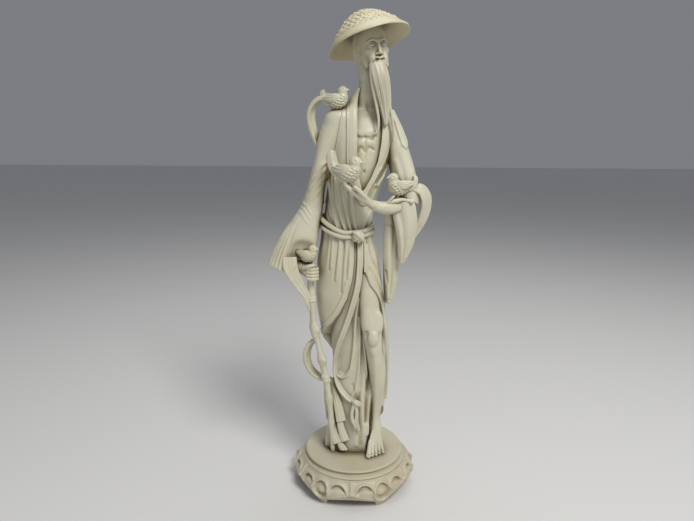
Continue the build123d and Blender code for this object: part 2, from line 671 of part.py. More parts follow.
thumb = limb(
    [
        thumb_root, thumb_root + hand_run * 7 + Vector(0, -4, 0) + palm_up * 2,
        thumb_root + hand_run * 13 + Vector(0, -5, 0) + palm_up * 4,
    ],
    [
        (half_finger * 1.2, half_finger * 1.2), (half_finger * 1.1, half_finger * 1.1),
        (half_finger * 0.6, half_finger * 0.6),
    ],
)
left_hand_blank = joined(forearm, palm, thumb, *fingers)

# Falls of the left sleeve
outer_fall_line = [
    (39, -15, 0.0, 10.5, 5), (42.5, -14, 0.4, 9.4, 4.5), (42, -13, 0.7, 6.6, 4), (39.5, -13, 1.0, 2.8, 2.4),
]
fall_top = hand_level - 1
outer_fall_blank = limb(
    [at(x, y, fall_top - 50 * s) for x, y, s, a, b in outer_fall_line],
    [(a, b) for x, y, s, a, b in outer_fall_line], X_AXIS, 3.0,
)
inner_fall_line = [
    (34, -3.5, 0.0, 9, 6), (32.5, -3.5, 0.4, 8.2, 5), (31, -3, 0.78, 6, 4.5), (30, -3, 1.0, 3.4, 3),
]
inner_fall_blank = limb(
    [at(x, y, fall_top - 88 * s) for x, y, s, a, b in inner_fall_line],
    [(a, b) for x, y, s, a, b in inner_fall_line], X_AXIS, 3.0,
)

# Birds, each facing +X before it is placed
def bird(tail_back, tail_up):
    unit = BIRD_LENGTH / 17
    g = BIRD_GIRTH / 2
    body = limb(
        [Vector(-7, 0, 1.5) * unit, Vector(-4, 0, 0.4) * unit, Vector(1, 0, 0) * unit, Vector(5, 0, 2.2) * unit,
         Vector(6.5, 0, 5) * unit],
        [(g * 0.5, g * 0.5), (g * 0.85, g * 0.85), (g, g), (g * 0.78, g * 0.78), (g * 0.5, g * 0.5)],
    )
    head = Pos(6.6 * unit, 0, 6.8 * unit) * Sphere(g * 0.68)
    beak = limb(
        [Vector(8.6, 0, 7.2) * unit, Vector(11, 0, 6.8) * unit, Vector(12.6, 0, 6.4) * unit],
        [(1.5, 1.4), (0.9, 0.9), (0.35, 0.35)],
    )
    tip = Vector(-tail_back, 0, tail_up) * unit
    bend = Vector(-tail_back * 0.95, 0, 1 + tail_up * 0.3) * unit
    tail = limb(
        [Vector(-5, 0, 1) * unit, bend, tip],
        [(g * 0.6, 2.2), (g * 0.6, 1.6), (g * 0.5, 1.0)],
        power=3.0,
    )
    wings = []
    for side in (-1, 1):
        wings.append(limb(
            [
                Vector(4, side * g * 0.8, 2) * unit, Vector(-1.5, side * g, 2) * unit,
                Vector(-9, side * g * 0.66, 3.4) * unit,
            ],
            [(1.1, 2.4), (1.3, 3.4), (0.7, 0.8)],
        ))
    return joined(body, head, beak, tail, *wings)


def place(x, y, h, pitch, turn):
    spot = at(x, y, h)
    return Location((spot.X, spot.Y, spot.Z)) * Rotation(0, 0, turn) * Rotation(0, pitch, 0)


shoulder_bird_blank = place(-16, -5.5, lift + 24, -20, -25) * bird(10.5, 10)
palm_bird_blank = place(-7.3, -31.5, hand_level + 25, -8, -35) * bird(14, 17)
elbow_bird_blank = place(35.5, -18.5, hand_level + 13, -14, 200) * bird(13, 7)
sleeve_bird_blank = place(-41.5, -14, lift - 105, -12, -30) * bird(10.5, 5)

# Right hand closed round the staff
grip = at(-40.5, -13, lift - 118.5)
right_palm = limb(
    [grip + Vector(-9, 5, 18), grip + Vector(-8, 3, 8), grip + Vector(-3, 1, 1.5), grip + Vector(4, -1, 0)],
    [(4.6, 4.4), (5.2, 4.6), (6.5, 5.5), (5.5, 5.0)],
)
right_fingers = []
for i in range(4):
    drop = Vector(0, 0, 3.6 - 2.9 * i)
    right_fingers.append(limb(
        [
            grip + drop + Vector(-1, -6, 0), grip + drop + Vector(3.5, -6.4, 0),
            grip + drop + Vector(6.6, -3, 0), grip + drop + Vector(6.4, 1, 0),
        ],
        [(1.5, 1.5), (1.6, 1.6), (1.5, 1.5), (1.2, 1.2)],
        Z_AXIS,
    ))
right_hand_blank = joined(right_palm, *right_fingers)

# Knobby staff, from the right hand to the drum
half_staff = STAFF_DIAMETER / 2
STAFF_LINE = [
    (-40, -12.5, 1.0), (-39.3, -12, 0.92), (-38, -11, 0.82), (-37, -10.5, 0.70), (-33.5, -10.5, 0.60),
    (-29.7, -10.5, 0.52), (-25.5, -11, 0.41), (-22.4, -11.8, 0.28), (-20.4, -12.6, 0.14),
    (-19.5, -13.5, 0.0),
]
staff_top = lift - 117
staff_points = []
staff_halves = []
for i, (x, y, share) in enumerate(STAFF_LINE):
    staff_points.append(at(x, y, share * staff_top))
    swell = STAFF_NODE if i % 2 == 0 else 1.0
    staff_halves.append((half_staff * swell, half_staff * swell))
staff_points[-1] = at(STAFF_LINE[-1][0], STAFF_LINE[-1][1], 0)
staff_blank = limb(staff_points, staff_halves, step=9.0)

# Scarf loops and ends
half_scarf = SCARF_WIDTH / 2
half_thick = SCARF_THICKNESS / 2


def ribbon(points, wide=1.0, side=Y_AXIS):
    return limb(points, [(half_scarf * wide, half_thick)] * len(points), side, 4.0)


LOW_LOOP = [
    (-34, -3.5, 0.615), (-40.5, -3, 0.575), (-44, -2.5, 0.515), (-42, -2.5, 0.45), (-33, -3, 0.40),
    (-17, -4, 0.385),
]
LOOP_SIDE = Vector(0.65, 0.8, 0.3)
SHOULDER_LOOP = [
    (-19, -3, 27), (-26, -3, 28), (-33, -1.5, 25.5), (-38.3, 0.8, 17), (-38.8, 2.2, 6), (-35.5, 3, -4.5),
    (-31, 3, -15),
]
ELBOW_LOOP = [
    (42, -13, 7.5), (48.5, -12, 12), (55.5, -9.5, 11.5), (61, -6.5, 4.5), (61.4, -4, -6), (57.4, -3, -17),
    (47, -5, -32),
]
CUFF_FALL = [
    (-57, -16.5, -106.5, 6.0), (-56, -18.4, -115, 6.2), (-53.2, -18.4, -122.5, 5.6),
    (-48.2, -16.6, -131.5, 4.6),
    (-43.6, -14.4, -140.5, 3.6), (-40.4, -11.6, -154, 2.2),
]
shoulder_loop_blank = ribbon([at(x, y, lift + h) for x, y, h in SHOULDER_LOOP], 0.9, LOOP_SIDE)
elbow_loop_blank = ribbon([at(x, y, hand_level + h) for x, y, h in ELBOW_LOOP], 1.1, LOOP_SIDE)
cuff_fall_blank = limb(
    [at(x, y, lift + h) for x, y, h, half in CUFF_FALL], [(half, half_thick) for x, y, h, half in CUFF_FALL],
    Vector(0.8, 0.3, 0.45), 4.0,
)
low_loop_blank = ribbon([at(x, y, share * staff_top) for x, y, share in LOW_LOOP], 0.95, LOOP_SIDE)
ends = []
for x_top, x_low, out, length in [(-25, -23, 2.0, 50), (-19, -15.5, 3.0, 52), (-13, -8, 2.2, 46)]:
    top_h = 0.36 * staff_top
    line = [(x_top, top_h), ((x_top + x_low) / 2, top_h - length * 0.5), (x_low, top_h - length)]
    ends.append(
        limb([skirt_front(x, h, out) for x, h in line], [(2.4, 2.0), (3.4, 2.4), (4.2, 2.6)], X_AXIS, 3.0)
    )

# Belt knot and cords
front_of_belt = waist_centre + Vector(10, 0, 0) - waist_depth_axis * (belt_b * 0.9 + BELT_THICKNESS)
knot_blank = ball(front_of_belt + Vector(0, -0.5, -1), KNOT_DIAMETER)
CORD_LINE = [
    (2.5, 196), (4, 180), (2, 158), (-3, 135), (-9, 113), (-15, 96), (-17, 80), (-14, 66), (-6, 55),
    (0.5, 52),
]
cord_points = [skirt_front(x, h * grow, 1.0) for x, h in CORD_LINE]
long_cord_blank = limb(cord_points, [(CORD_WIDTH / 2, CORD_THICKNESS / 2)] * len(cord_points), X_AXIS, 3.0)
short_points = [skirt_front(x, h * grow, OVERSKIRT_STEP + 1.0) for x, h in [(8.6, 197), (9.2, 186), (9, 173)]]
short_cord_blank = limb(short_points, [(CORD_WIDTH * 0.36, CORD_THICKNESS * 0.42)] * 3, X_AXIS, 3.0)
bow_centre = skirt_front(1.5, 51 * grow, 2.0)
bow = ball(bow_centre, 8.5)
tail_points = [
    bow_centre + Vector(1, 0.5, -1), bow_centre + Vector(2, 0.5, -14), bow_centre + Vector(4, 0.5, -30),
]
bow_tail = limb(tail_points, [(2.2, 1.6), (2.8, 1.8), (3.2, 1.8)], X_AXIS, 3.0)
cord_bow_blank = joined(bow, bow_tail)

# Pegs between the sections
pegs = {
    "core_rod": (at(-5, 1, WAIST_LEVEL - ROD_LENGTH / 2), Z_AXIS, ROD_LENGTH, ROD_DIAMETER),
    "neck_dowel": (at(10, -1, NECK_LEVEL - DOWEL_LENGTH / 2), Z_AXIS, DOWEL_LENGTH, DOWEL_DIAMETER),
    "hat_dowel": (
        at(11, -3.5, NECK_LEVEL + HEAD_HEIGHT - 9),
        Vector(-sin(radians(HAT_ROLL)) * 0.5, 0, 1).normalized(), 12, 4.0,
    ),
    "foot_dowel": (at(FOOT_PLACE, -4, ankle_level - 8), Z_AXIS, 16, 3.0),
    "thigh_dowel": (at(11, -10, 0.67 * WAIST_LEVEL), Vector(-0.5, 0.866, 0), DOWEL_LENGTH, DOWEL_DIAMETER),
    "right_arm_dowel": (at(-10, 2, lift - 6), Vector(-0.8, 0, -0.6), DOWEL_LENGTH, DOWEL_DIAMETER),
    "left_arm_dowel": (at(21, 2, lift - 2), Vector(0.8, 0, -0.6), DOWEL_LENGTH, DOWEL_DIAMETER),
    "forearm_dowel": (at(28, -19, hand_level - 1), Vector(0.7, 0.69, 0.08).normalized(), DOWEL_LENGTH, 4.0),
    "staff_pin": (at(-19.5, -13.5, -6), Z_AXIS, 12, 3.0),
    "shoulder_bird_pin": (at(-15.5, -5, lift + 13.5), Z_AXIS, PIN_LENGTH, PIN_DIAMETER),
    "palm_bird_pin": (at(-8, -29.5, hand_level + 14.5), palm_up, PIN_LENGTH, PIN_DIAMETER),
    "elbow_bird_pin": (at(35, -18.5, hand_level + 3), Z_AXIS, PIN_LENGTH, PIN_DIAMETER),
    "sleeve_bird_pin": (at(-44, -12, lift - 115), Z_AXIS, PIN_LENGTH, PIN_DIAMETER),
    "knot_pin": (front_of_belt + Vector(0, -PIN_LENGTH / 2, -1), Y_AXIS, PIN_LENGTH * 0.75, PIN_DIAMETER),
}
peg = {name: rod(*row) for name, row in pegs.items()}
hole = {name: socket(*row) for name, row in pegs.items()}

# Seats: each section is cut by the ones it lies on
nodes = {}
nodes["stand_base"] = stand_base
nodes["plinth_drum"] = less(
    drum_blank, rod(Vector(0, 0, 0), Z_AXIS, FLOOR * 2, BOLT_DIAMETER + 4 * FIT_CLEARANCE),
    hole["staff_pin"],
)
nodes["fixing_bolt"] = fixing_bolt
nodes["bolt_washer"] = bolt_washer
nodes["threaded_insert"] = threaded_insert
below_ankle = Pos(FOOT_PLACE, 0, FLOOR + ankle_level - 25) * Box(60, 90, 50)
above_ankle = Pos(FOOT_PLACE, 0, FLOOR + ankle_level + 25) * Box(60, 90, 50)
nodes["left_leg"] = less(leg_blank, below_ankle, hole["foot_dowel"], hole["thigh_dowel"])
foot_cut = Pos(0, 0, FLOOR - 25) * Box(200, 200, 50)
nodes["left_foot"] = less(foot_blank, foot_cut, above_ankle, hole["foot_dowel"])
nodes["lower_robe"] = less(
    skirt_blank, leg_blank, leg_well, foot_room, insert_hole, hole["core_rod"], hole["thigh_dowel"],
)
nodes["belt"] = less(belt_out, belt_bore, hole["knot_pin"])
nodes["body"] = less(
    body_blank, hole["core_rod"], hole["neck_dowel"], hole["right_arm_dowel"], hole["left_arm_dowel"],
)
robe_shell = less(robe_blank, body_blank, opening_cut)
lapels = [less(lapel(line), body_blank, left_sleeve_blank) for line in (right_lapel_line, left_lapel_line)]
robe_shell = joined(robe_shell, *lapels)
nodes["upper_robe"] = less(
    robe_shell, hole["right_arm_dowel"], hole["left_arm_dowel"], hole["shoulder_bird_pin"],
)
nodes["head"] = less(head_blank, hole["neck_dowel"], hole["hat_dowel"])
nodes["hat"] = less(hat_blank, head_blank, hole["hat_dowel"])
nodes["beard"] = less(beard_blank, head_blank, body_blank, nodes["upper_robe"])
nodes["right_sleeve"] = less(
    right_sleeve_blank, robe_blank, skirt_blank, belt_out, staff_blank, cuff_mouth, right_hand_blank,
    hole["right_arm_dowel"], hole["sleeve_bird_pin"], hole["shoulder_bird_pin"],
)
nodes["left_sleeve"] = less(
    left_sleeve_blank, robe_blank, hole["left_arm_dowel"], hole["forearm_dowel"], hole["elbow_bird_pin"],
)
nodes["left_hand"] = less(
    left_hand_blank, left_sleeve_blank, hole["forearm_dowel"], hole["elbow_bird_pin"],
    hole["palm_bird_pin"],
)
nodes["left_sleeve_outer_fall"] = less(outer_fall_blank, left_sleeve_blank, left_hand_blank)
nodes["left_sleeve_inner_fall"] = less(
    inner_fall_blank, left_sleeve_blank, left_hand_blank, skirt_blank, robe_blank, outer_fall_blank,
    hole["forearm_dowel"],
)
nodes["staff"] = less(staff_blank, skirt_blank, foot_cut, hole["staff_pin"])
nodes["right_hand"] = less(right_hand_blank, staff_blank, hole["sleeve_bird_pin"])
nodes["shoulder_bird"] = less(
    shoulder_bird_blank, robe_blank, lapels[0], right_sleeve_blank, hole["shoulder_bird_pin"],
)
nodes["palm_bird"] = less(palm_bird_blank, left_hand_blank, hole["palm_bird_pin"])
nodes["elbow_bird"] = less(elbow_bird_blank, left_hand_blank, left_sleeve_blank, hole["elbow_bird_pin"])
nodes["sleeve_bird"] = less(
    sleeve_bird_blank, right_hand_blank, right_sleeve_blank, staff_blank, hole["sleeve_bird_pin"],
)
nodes["scarf_shoulder_loop"] = less(
    shoulder_loop_blank, robe_blank, right_sleeve_blank, shoulder_bird_blank, lapels[0],
)
nodes["scarf_elbow_loop"] = less(
    elbow_loop_blank, left_sleeve_blank, inner_fall_blank, outer_fall_blank, elbow_bird_blank,
    left_hand_blank,
)
nodes["cuff_fall"] = less(
    cuff_fall_blank, right_sleeve_blank, right_hand_blank, staff_blank, sleeve_bird_blank,
)
nodes["scarf_low_loop"] = less(low_loop_blank, staff_blank, skirt_blank)
scarf_ends = [less(piece, skirt_blank, staff_blank, low_loop_blank, long_cord_blank) for piece in ends]
nodes["scarf_ends"] = scarf_ends
nodes["belt_knot"] = less(knot_blank, belt_out, skirt_blank, robe_blank, hole["knot_pin"])
nodes["long_cord"] = less(long_cord_blank, skirt_blank, belt_out, knot_blank)
nodes["short_cord"] = less(short_cord_blank, skirt_blank, belt_out, knot_blank, leg_blank, long_cord_blank)
nodes["cord_bow"] = less(cord_bow_blank, skirt_blank, long_cord_blank)
for name, shape in peg.items():
    nodes[name] = shape

# The origin is the middle of the whole width and depth, in the plane of the feet
outermost = ["right_sleeve", "scarf_elbow_loop", "hat", "stand_base"]
boxes = [nodes[name].bounding_box() for name in outermost]
middle_x = (min(box.min.X for box in boxes) + max(box.max.X for box in boxes)) / 2
middle_y = (min(box.min.Y for box in boxes) + max(box.max.Y for box in boxes)) / 2
centred = Pos(-middle_x, -middle_y, 0)

os.makedirs("parts", exist_ok=True)
for name, piece in nodes.items():
    if isinstance(piece, list):
        piece = Compound(children=[centred * shape for shape in piece])
    else:
        piece = centred * piece
    export_step(piece, "parts/" + name + ".step")
print("stand axis at", round(-middle_x, 3), round(-middle_y, 3))
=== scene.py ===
import bpy
import json
import math
import numpy as np
import openvdb
from concurrent.futures import ThreadPoolExecutor
from mathutils import Matrix, Vector


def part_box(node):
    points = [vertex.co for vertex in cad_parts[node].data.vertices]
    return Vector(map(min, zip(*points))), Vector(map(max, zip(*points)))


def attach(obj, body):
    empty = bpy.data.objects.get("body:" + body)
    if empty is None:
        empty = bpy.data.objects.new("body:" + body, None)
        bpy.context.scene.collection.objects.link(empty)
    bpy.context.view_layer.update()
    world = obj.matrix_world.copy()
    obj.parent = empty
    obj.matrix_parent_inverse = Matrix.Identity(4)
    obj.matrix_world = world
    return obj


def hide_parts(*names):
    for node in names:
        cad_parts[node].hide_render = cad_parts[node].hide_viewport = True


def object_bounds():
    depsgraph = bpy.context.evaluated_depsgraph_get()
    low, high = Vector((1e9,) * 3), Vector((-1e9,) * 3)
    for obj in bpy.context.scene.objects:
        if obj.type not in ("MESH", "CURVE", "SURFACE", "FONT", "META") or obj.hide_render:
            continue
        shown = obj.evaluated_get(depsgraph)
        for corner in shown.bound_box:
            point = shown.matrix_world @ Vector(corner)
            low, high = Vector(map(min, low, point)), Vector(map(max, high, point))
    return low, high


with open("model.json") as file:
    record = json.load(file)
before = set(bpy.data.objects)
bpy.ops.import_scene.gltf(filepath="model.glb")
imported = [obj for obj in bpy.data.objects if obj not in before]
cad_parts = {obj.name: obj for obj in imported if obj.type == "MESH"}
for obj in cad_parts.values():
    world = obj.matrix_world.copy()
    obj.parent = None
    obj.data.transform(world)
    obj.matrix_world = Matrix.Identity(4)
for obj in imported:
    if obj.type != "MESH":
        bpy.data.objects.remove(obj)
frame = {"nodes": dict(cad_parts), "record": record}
cad_low, cad_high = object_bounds()

# Carving is worked in millimetres from the stand's axis, and turned into metres when a mesh is made
MM = 0.001
STEP = 1.0
drum_low, drum_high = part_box("plinth_drum")
AXIS = np.array([(drum_low[0] + drum_high[0]) / 2, (drum_low[1] + drum_high[1]) / 2, 0]) / MM


def box_mm(node):
    low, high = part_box(node)
    return np.array(low) / MM - AXIS, np.array(high) / MM - AXIS


FLOOR = box_mm("plinth_drum")[1][2]
STAND_TOP = box_mm("stand_base")[1][2]
# Millimetres of surface for one radian of turn round the figure
GIRTH = 24
# How far a limb reaches past the ends of its path
END_OVER = 0.2
FAR = 1e3
FAR_SQUARED = 1e9
WELL_INSIDE = -10
TINY = 1e-6


def vec(rows):
    return np.array(rows, np.float32)


# Fields: negative inside, in millimetres
def smin(a, b, k):
    h = np.maximum(k - np.abs(a - b), 0) / k
    return np.minimum(a, b) - h * h * k * 0.25


def smax(a, b, k):
    return -smin(-a, -b, k)


def rise(x, low, high):
    t = np.clip((x - low) / (high - low), 0, 1)
    return t * t * (3 - 2 * t)


def bell(x, width):
    return np.exp(-(x / width) ** 2)


def curve(points, steps=6):
    # Smooth path through rows of numbers
    p = np.array(points, float)
    last = len(p) - 1
    rows = []
    for i in range(last):
        a, b, c, d = p[max(i - 1, 0)], p[i], p[i + 1], p[min(i + 2, last)]
        for s in range(steps):
            t = s / steps
            square = (2 * a - 5 * b + 4 * c - d) * t ** 2
            cube = (3 * b - a - 3 * c + d) * t ** 3
            rows.append(0.5 * (2 * b + (c - a) * t + square + cube))
    rows.append(p[last])
    return vec(rows)


def from_run(P, a, b):
    # Share of the run from a to b that lies nearest to each place, and the offset from there
    run = b - a
    off = P - a
    t = np.clip(off @ run / max(run @ run, TINY), 0, 1)
    return t, off - t[:, None] * run


def chain(P, path):
    # Round rod along a path whose rows are x, y, z, radius
    best = np.full(len(P), FAR, np.float32)
    for a, b in zip(path, path[1:]):
        t, off = from_run(P, a[:3], b[:3])
        best = np.minimum(best, np.sqrt((off * off).sum(1)) - a[3] - t * (b[3] - a[3]))
    return best


def close_to(P, path, reach):
    low = path[:, :3].min(0) - reach
    high = path[:, :3].max(0) + reach
    return np.nonzero(((P > low) & (P < high)).all(1))[0]


def blend(d, here, c, k, cut):
    d[here] = smax(d[here], -c, k) if cut else smin(d[here], c, k)


def rod(d, P, points, k=1, cut=False):
    # Adds a smooth rod to a field, or cuts it away
    path = curve(points) if len(points) > 2 else vec(points)
    here = close_to(P, path, path[:, 3].max() + k + 1)
    if len(here):
        blend(d, here, chain(P[here], path), k, cut)
    return d


def blob(P, centre, radii, turn=None):
    q = P - vec(centre)
    if turn is not None:
        q = q @ turn
    r = vec(radii)
    k0 = np.sqrt(((q / r) ** 2).sum(1))
    k1 = np.sqrt(((q / (r * r)) ** 2).sum(1))
    return k0 * (k0 - 1) / np.maximum(k1, TINY)


def lump(d, P, centre, radii, k=1, cut=False, turn=None):
    # Adds an egg shape to a field, or cuts it away
    here = close_to(P, vec([centre]), max(radii) + k + 1)
    if len(here):
        blend(d, here, blob(P[here], centre, radii, turn), k, cut)
    return d


def oval(u, v, a, b):
    k0 = np.sqrt((u / a) ** 2 + (v / b) ** 2)
    k1 = np.sqrt((u / (a * a)) ** 2 + (v / (b * b)) ** 2)
    return k0 * (k0 - 1) / np.maximum(k1, 1e-5)


class Trunk:
    # Upright form: rows of height, centre across, centre back, half width, half depth
    def __init__(self, rows):
        self.rows = curve(rows, 8)

    def at(self, z):
        return [np.interp(z, self.rows[:, 0], self.rows[:, i]).astype(np.float32) for i in (1, 2, 3, 4)]

    def field(self, P):
        cx, cy, a, b = self.at(P[:, 2])
        x = P[:, 0] - cx
        y = P[:, 1] - cy
        return oval(x, y, a, b), np.arctan2(x / a, -y / b)

    def turn(self, x, z):
        cx, _, a, _ = self.at(np.asarray(z, np.float32))
        return np.arcsin(np.clip((np.asarray(x) - cx) / a, -1, 1))

    def marks(self, points):
        # Front points across and up, turned into surface coordinates
        p = vec(points)
        return np.column_stack([self.turn(p[:, 0], p[:, 1]) * GIRTH, p[:, 1]])

    def front(self, points, off):
        # Places on the front of the form, lifted off it by a small amount
        p = curve(points, 4)
        cx, cy, a, b = self.at(p[:, 1])
        share = np.clip((p[:, 0] - cx) / a, -0.985, 0.985)
        y = cy - b * np.sqrt(1 - share * share) - off
        return np.column_stack([p[:, 0], y, p[:, 1]]).astype(np.float32)


class Limb:
    # Form along a path: rows of x, y, z, half size along the side direction, half size across it
    def __init__(self, rows, side, steps=6):
        r = curve(rows, steps)
        self.p = r[:, :3]
        self.ab = r[:, 3:5]
        run = np.gradient(self.p, axis=0)
        run /= np.linalg.norm(run, axis=1)[:, None]
        side = np.broadcast_to(np.asarray(side, np.float32), run.shape)
        wide = side - (side * run).sum(1)[:, None] * run
        wide /= np.linalg.norm(wide, axis=1)[:, None]
        self.run, self.wide, self.thick = run, wide, np.cross(run, wide)
        gaps = np.linalg.norm(np.diff(self.p, axis=0), axis=1)
        self.s = np.concatenate([[0], np.cumsum(gaps)]).astype(np.float32)

    def locate(self, P):
        # Two offsets across the path, half sizes, way past an end, and length run
        best = np.full(len(P), FAR_SQUARED, np.float32)
        seg = np.zeros(len(P), np.int32)
        share = np.zeros(len(P), np.float32)
        for i in range(len(self.p) - 1):
            t, off = from_run(P, self.p[i], self.p[i + 1])
            gap = (off * off).sum(1)
            better = gap < best
            best = np.where(better, gap, best)
            seg = np.where(better, i, seg)
            share = np.where(better, t, share)
        w = share[:, None]

        def mix(column):
            return column[seg] * (1 - w) + column[seg + 1] * w

        q = P - mix(self.p)
        ab = mix(self.ab)
        u = (q * mix(self.wide)).sum(1)
        v = (q * mix(self.thick)).sum(1)
        end = ((seg == 0) & (share <= 0)) | ((seg == len(self.p) - 2) & (share >= 1))
        along = np.where(end, np.abs((q * mix(self.run)).sum(1)), WELL_INSIDE)
        s = self.s[seg] * (1 - share) + self.s[seg + 1] * share
        return u, v, ab[:, 0], ab[:, 1], along, s

    def field(self, P, k=1.5):
        u, v, a, b, along, s = self.locate(P)
        return smax(oval(u, v, a, b), along - END_OVER, k), s, np.arctan2(u / a, -v / b)

    def slab(self, P, corner=0.6):
        # Flat band: half width along the side, half thickness across it
        u, v, a, b, along, s = self.locate(P)
        du = np.abs(u) - a + corner
        dv = np.abs(v) - b + corner
        d = np.sqrt(np.maximum(du, 0) ** 2 + np.maximum(dv, 0) ** 2)
        d = d + np.minimum(np.maximum(du, dv), 0) - corner
        return smax(d, along - END_OVER, 0.6), s, u


def run_gap(u, v, a, b):
    # Squared distance from the run between two points of a surface
    run = b - a
    t = np.clip(((u - a[0]) * run[0] + (v - a[1]) * run[1]) / max(run @ run, TINY), 0, 1)
    return (u - a[0] - t * run[0]) ** 2 + (v - a[1] - t * run[1]) ** 2


class Relief:
    # Heights laid over a surface by strokes in two surface coordinates
    def __init__(self, u, v):
        self.u, self.v = u, v
        self.h = np.zeros(len(u), np.float32)

    def far(self, path, reach):
        here = np.nonzero((self.u > path[:, 0].min() - reach) & (self.u < path[:, 0].max() + reach)
                          & (self.v > path[:, 1].min() - reach) & (self.v < path[:, 1].max() + reach))[0]
        gap = np.full(len(here), FAR_SQUARED, np.float32)
        u, v = self.u[here], self.v[here]
        for a, b in zip(path, path[1:]):
            gap = np.minimum(gap, run_gap(u, v, a, b))
        return here, np.sqrt(gap)

    def ridge(self, points, width, height):
        path = curve(points, 4) if len(points) > 2 else vec(points)
        here, gap = self.far(path, width * 2.6)
        self.h[here] += height * bell(gap, width)

    def ridges(self, strokes):
        for points, width, height in strokes:
            self.ridge(points, width, height)

    def band(self, points, half, height, soft=0.5, groove=0.0):
        path = curve(points, 4)
        here, gap = self.far(path, half + soft + 1)
        self.h[here] += height * rise(half - gap, -soft, soft)
        if groove:
            self.h[here] -= groove * bell(gap, 0.6)

    def panel(self, points, height, soft=0.6):
        self.h += height * rise(within(self.u, self.v, points), -soft, soft)


def within(u, v, points):
    # Signed distance to a closed outline, above zero inside it
    p = vec(points)
    gap = np.full(len(u), FAR_SQUARED, np.float32)
    inside = np.zeros(len(u), bool)
    for a, b in zip(p, np.roll(p, -1, 0)):
        gap = np.minimum(gap, run_gap(u, v, a, b))
        if a[1] != b[1]:
            run = b - a
            cross = (a[1] > v) != (b[1] > v)
            inside ^= cross & (u < run[0] * (v - a[1]) / run[1] + a[0])
    return np.sqrt(gap) * np.where(inside, 1, -1)


def wobble(P, size, seed):
    # Slow smooth unevenness, about -1 to 1
    rng = np.random.default_rng(seed)
    total = np.zeros(len(P), np.float32)
    for _ in range(4):
        way = rng.normal(size=3)
        length = size * rng.uniform(0.7, 1.4)
        way = (way / np.linalg.norm(way) * 2 * math.pi / length).astype(np.float32)
        total += np.sin(P @ way + rng.uniform(0, 6.28))
    return total / 2.4


def about(axis, degrees):
    return Matrix.Rotation(math.radians(degrees), 3, axis)


def turned(rx, ry, rz):
    # Rotation whose columns are the local axes
    return vec(about("Z", rz) @ about("Y", ry) @ about("X", rx))


# Body forms
WAIST = vec([-8, 0, FLOOR + 208.5])
TILT = math.radians(12)
WAIST_UP = vec([0, -math.sin(TILT), math.cos(TILT)])
WAIST_BACK = vec([0, math.cos(TILT), math.sin(TILT)])
OVER_STEP = 2.3
SKIRT_ROWS = [(31, 0.5, 0.5, 29, 18.5), (45, 1.2, 0.8, 28.4, 18.5), (61, 2, 1, 28, 18.5),
    (100, 5, 2, 26.5, 18), (140, 3.5, 2, 27, 18.5), (177, -2, 1, 28, 19), (209, -5.5, 0.5, 26.4, 18),
    (232, -7.4, 0.2, 22.6, 15.4), (248, -8, 0, 21.6, 14.6)]
INNER = Trunk([(z, x, y, a - OVER_STEP, b - OVER_STEP) for z, x, y, a, b in SKIRT_ROWS])
FLAP = {100: 1, 140: 3.2, 177: 2.4, 209: 1}
SKIRT = Trunk([(z, x - FLAP.get(z, 0), y, a + FLAP.get(z, 0), b) for z, x, y, a, b in SKIRT_ROWS])
CHEST = Trunk([(230, -8, 0, 21.5, 14.5), (245, -7.4, 0, 21.3, 14.7), (263, -4.5, 0, 21.8, 15.6),
    (287, 0.5, 0, 24, 17), (307, 4, 0.5, 26.5, 17.5), (323, 6, 1, 27, 16.6), (335, 7, 2, 24.5, 14.3),
    (344, 7.5, 3, 17.6, 12.2), (350, 8, 3, 14.2, 11), (356, 8.8, 2, 10.8, 10), (362, 9.6, 0.6, 8.4, 9)])
TORSO = Trunk([(230, -8, 0, 18.5, 11.5), (263, -4.5, 0, 18.5, 12.9), (287, 0.5, 0, 21, 14.6),
    (307, 4, 0.5, 23, 15.2), (323, 6, 1, 23, 14.2), (335, 7, 2, 19, 11.6), (344, 8, 1.5, 10.5, 8.8),
    (353, 9.2, -0.4, 8.7, 8.5), (362, 10.2, -1.1, 8.5, 8.5), (372, 11, -1.5, 8.5, 8.5)])
WRAP_EDGE = [(-1.7, 240), (-1.6, 213), (-3.2, 197), (-7.4, 180), (-14.4, 166), (-21.6, 156.5),
    (-27, 149), (-29.2, 143.5)]
SASH = [(3.5, 232), (3.6, 213), (2.1, 193), (-2.1, 175), (-8.1, 155), (-14.3, 136), (-17.2, 120),
    (-17.2, 106), (-13.3, 94), (-5.9, 86), (-0.4, 83)]
THIGH_EDGE = [(6.6, 240), (6.6, 209), (10, 193), (18.3, 178), (25.1, 164), (28, 148)]


def back_folds(turn, z):
    behind = rise(np.abs(turn), 1.35, 1.9)
    broad = np.cos(7 * turn + 2.4 * np.sin((z - FLOOR) / 37))
    return behind * (1.3 * broad + 0.35 * np.cos(17 * turn + z / 23))


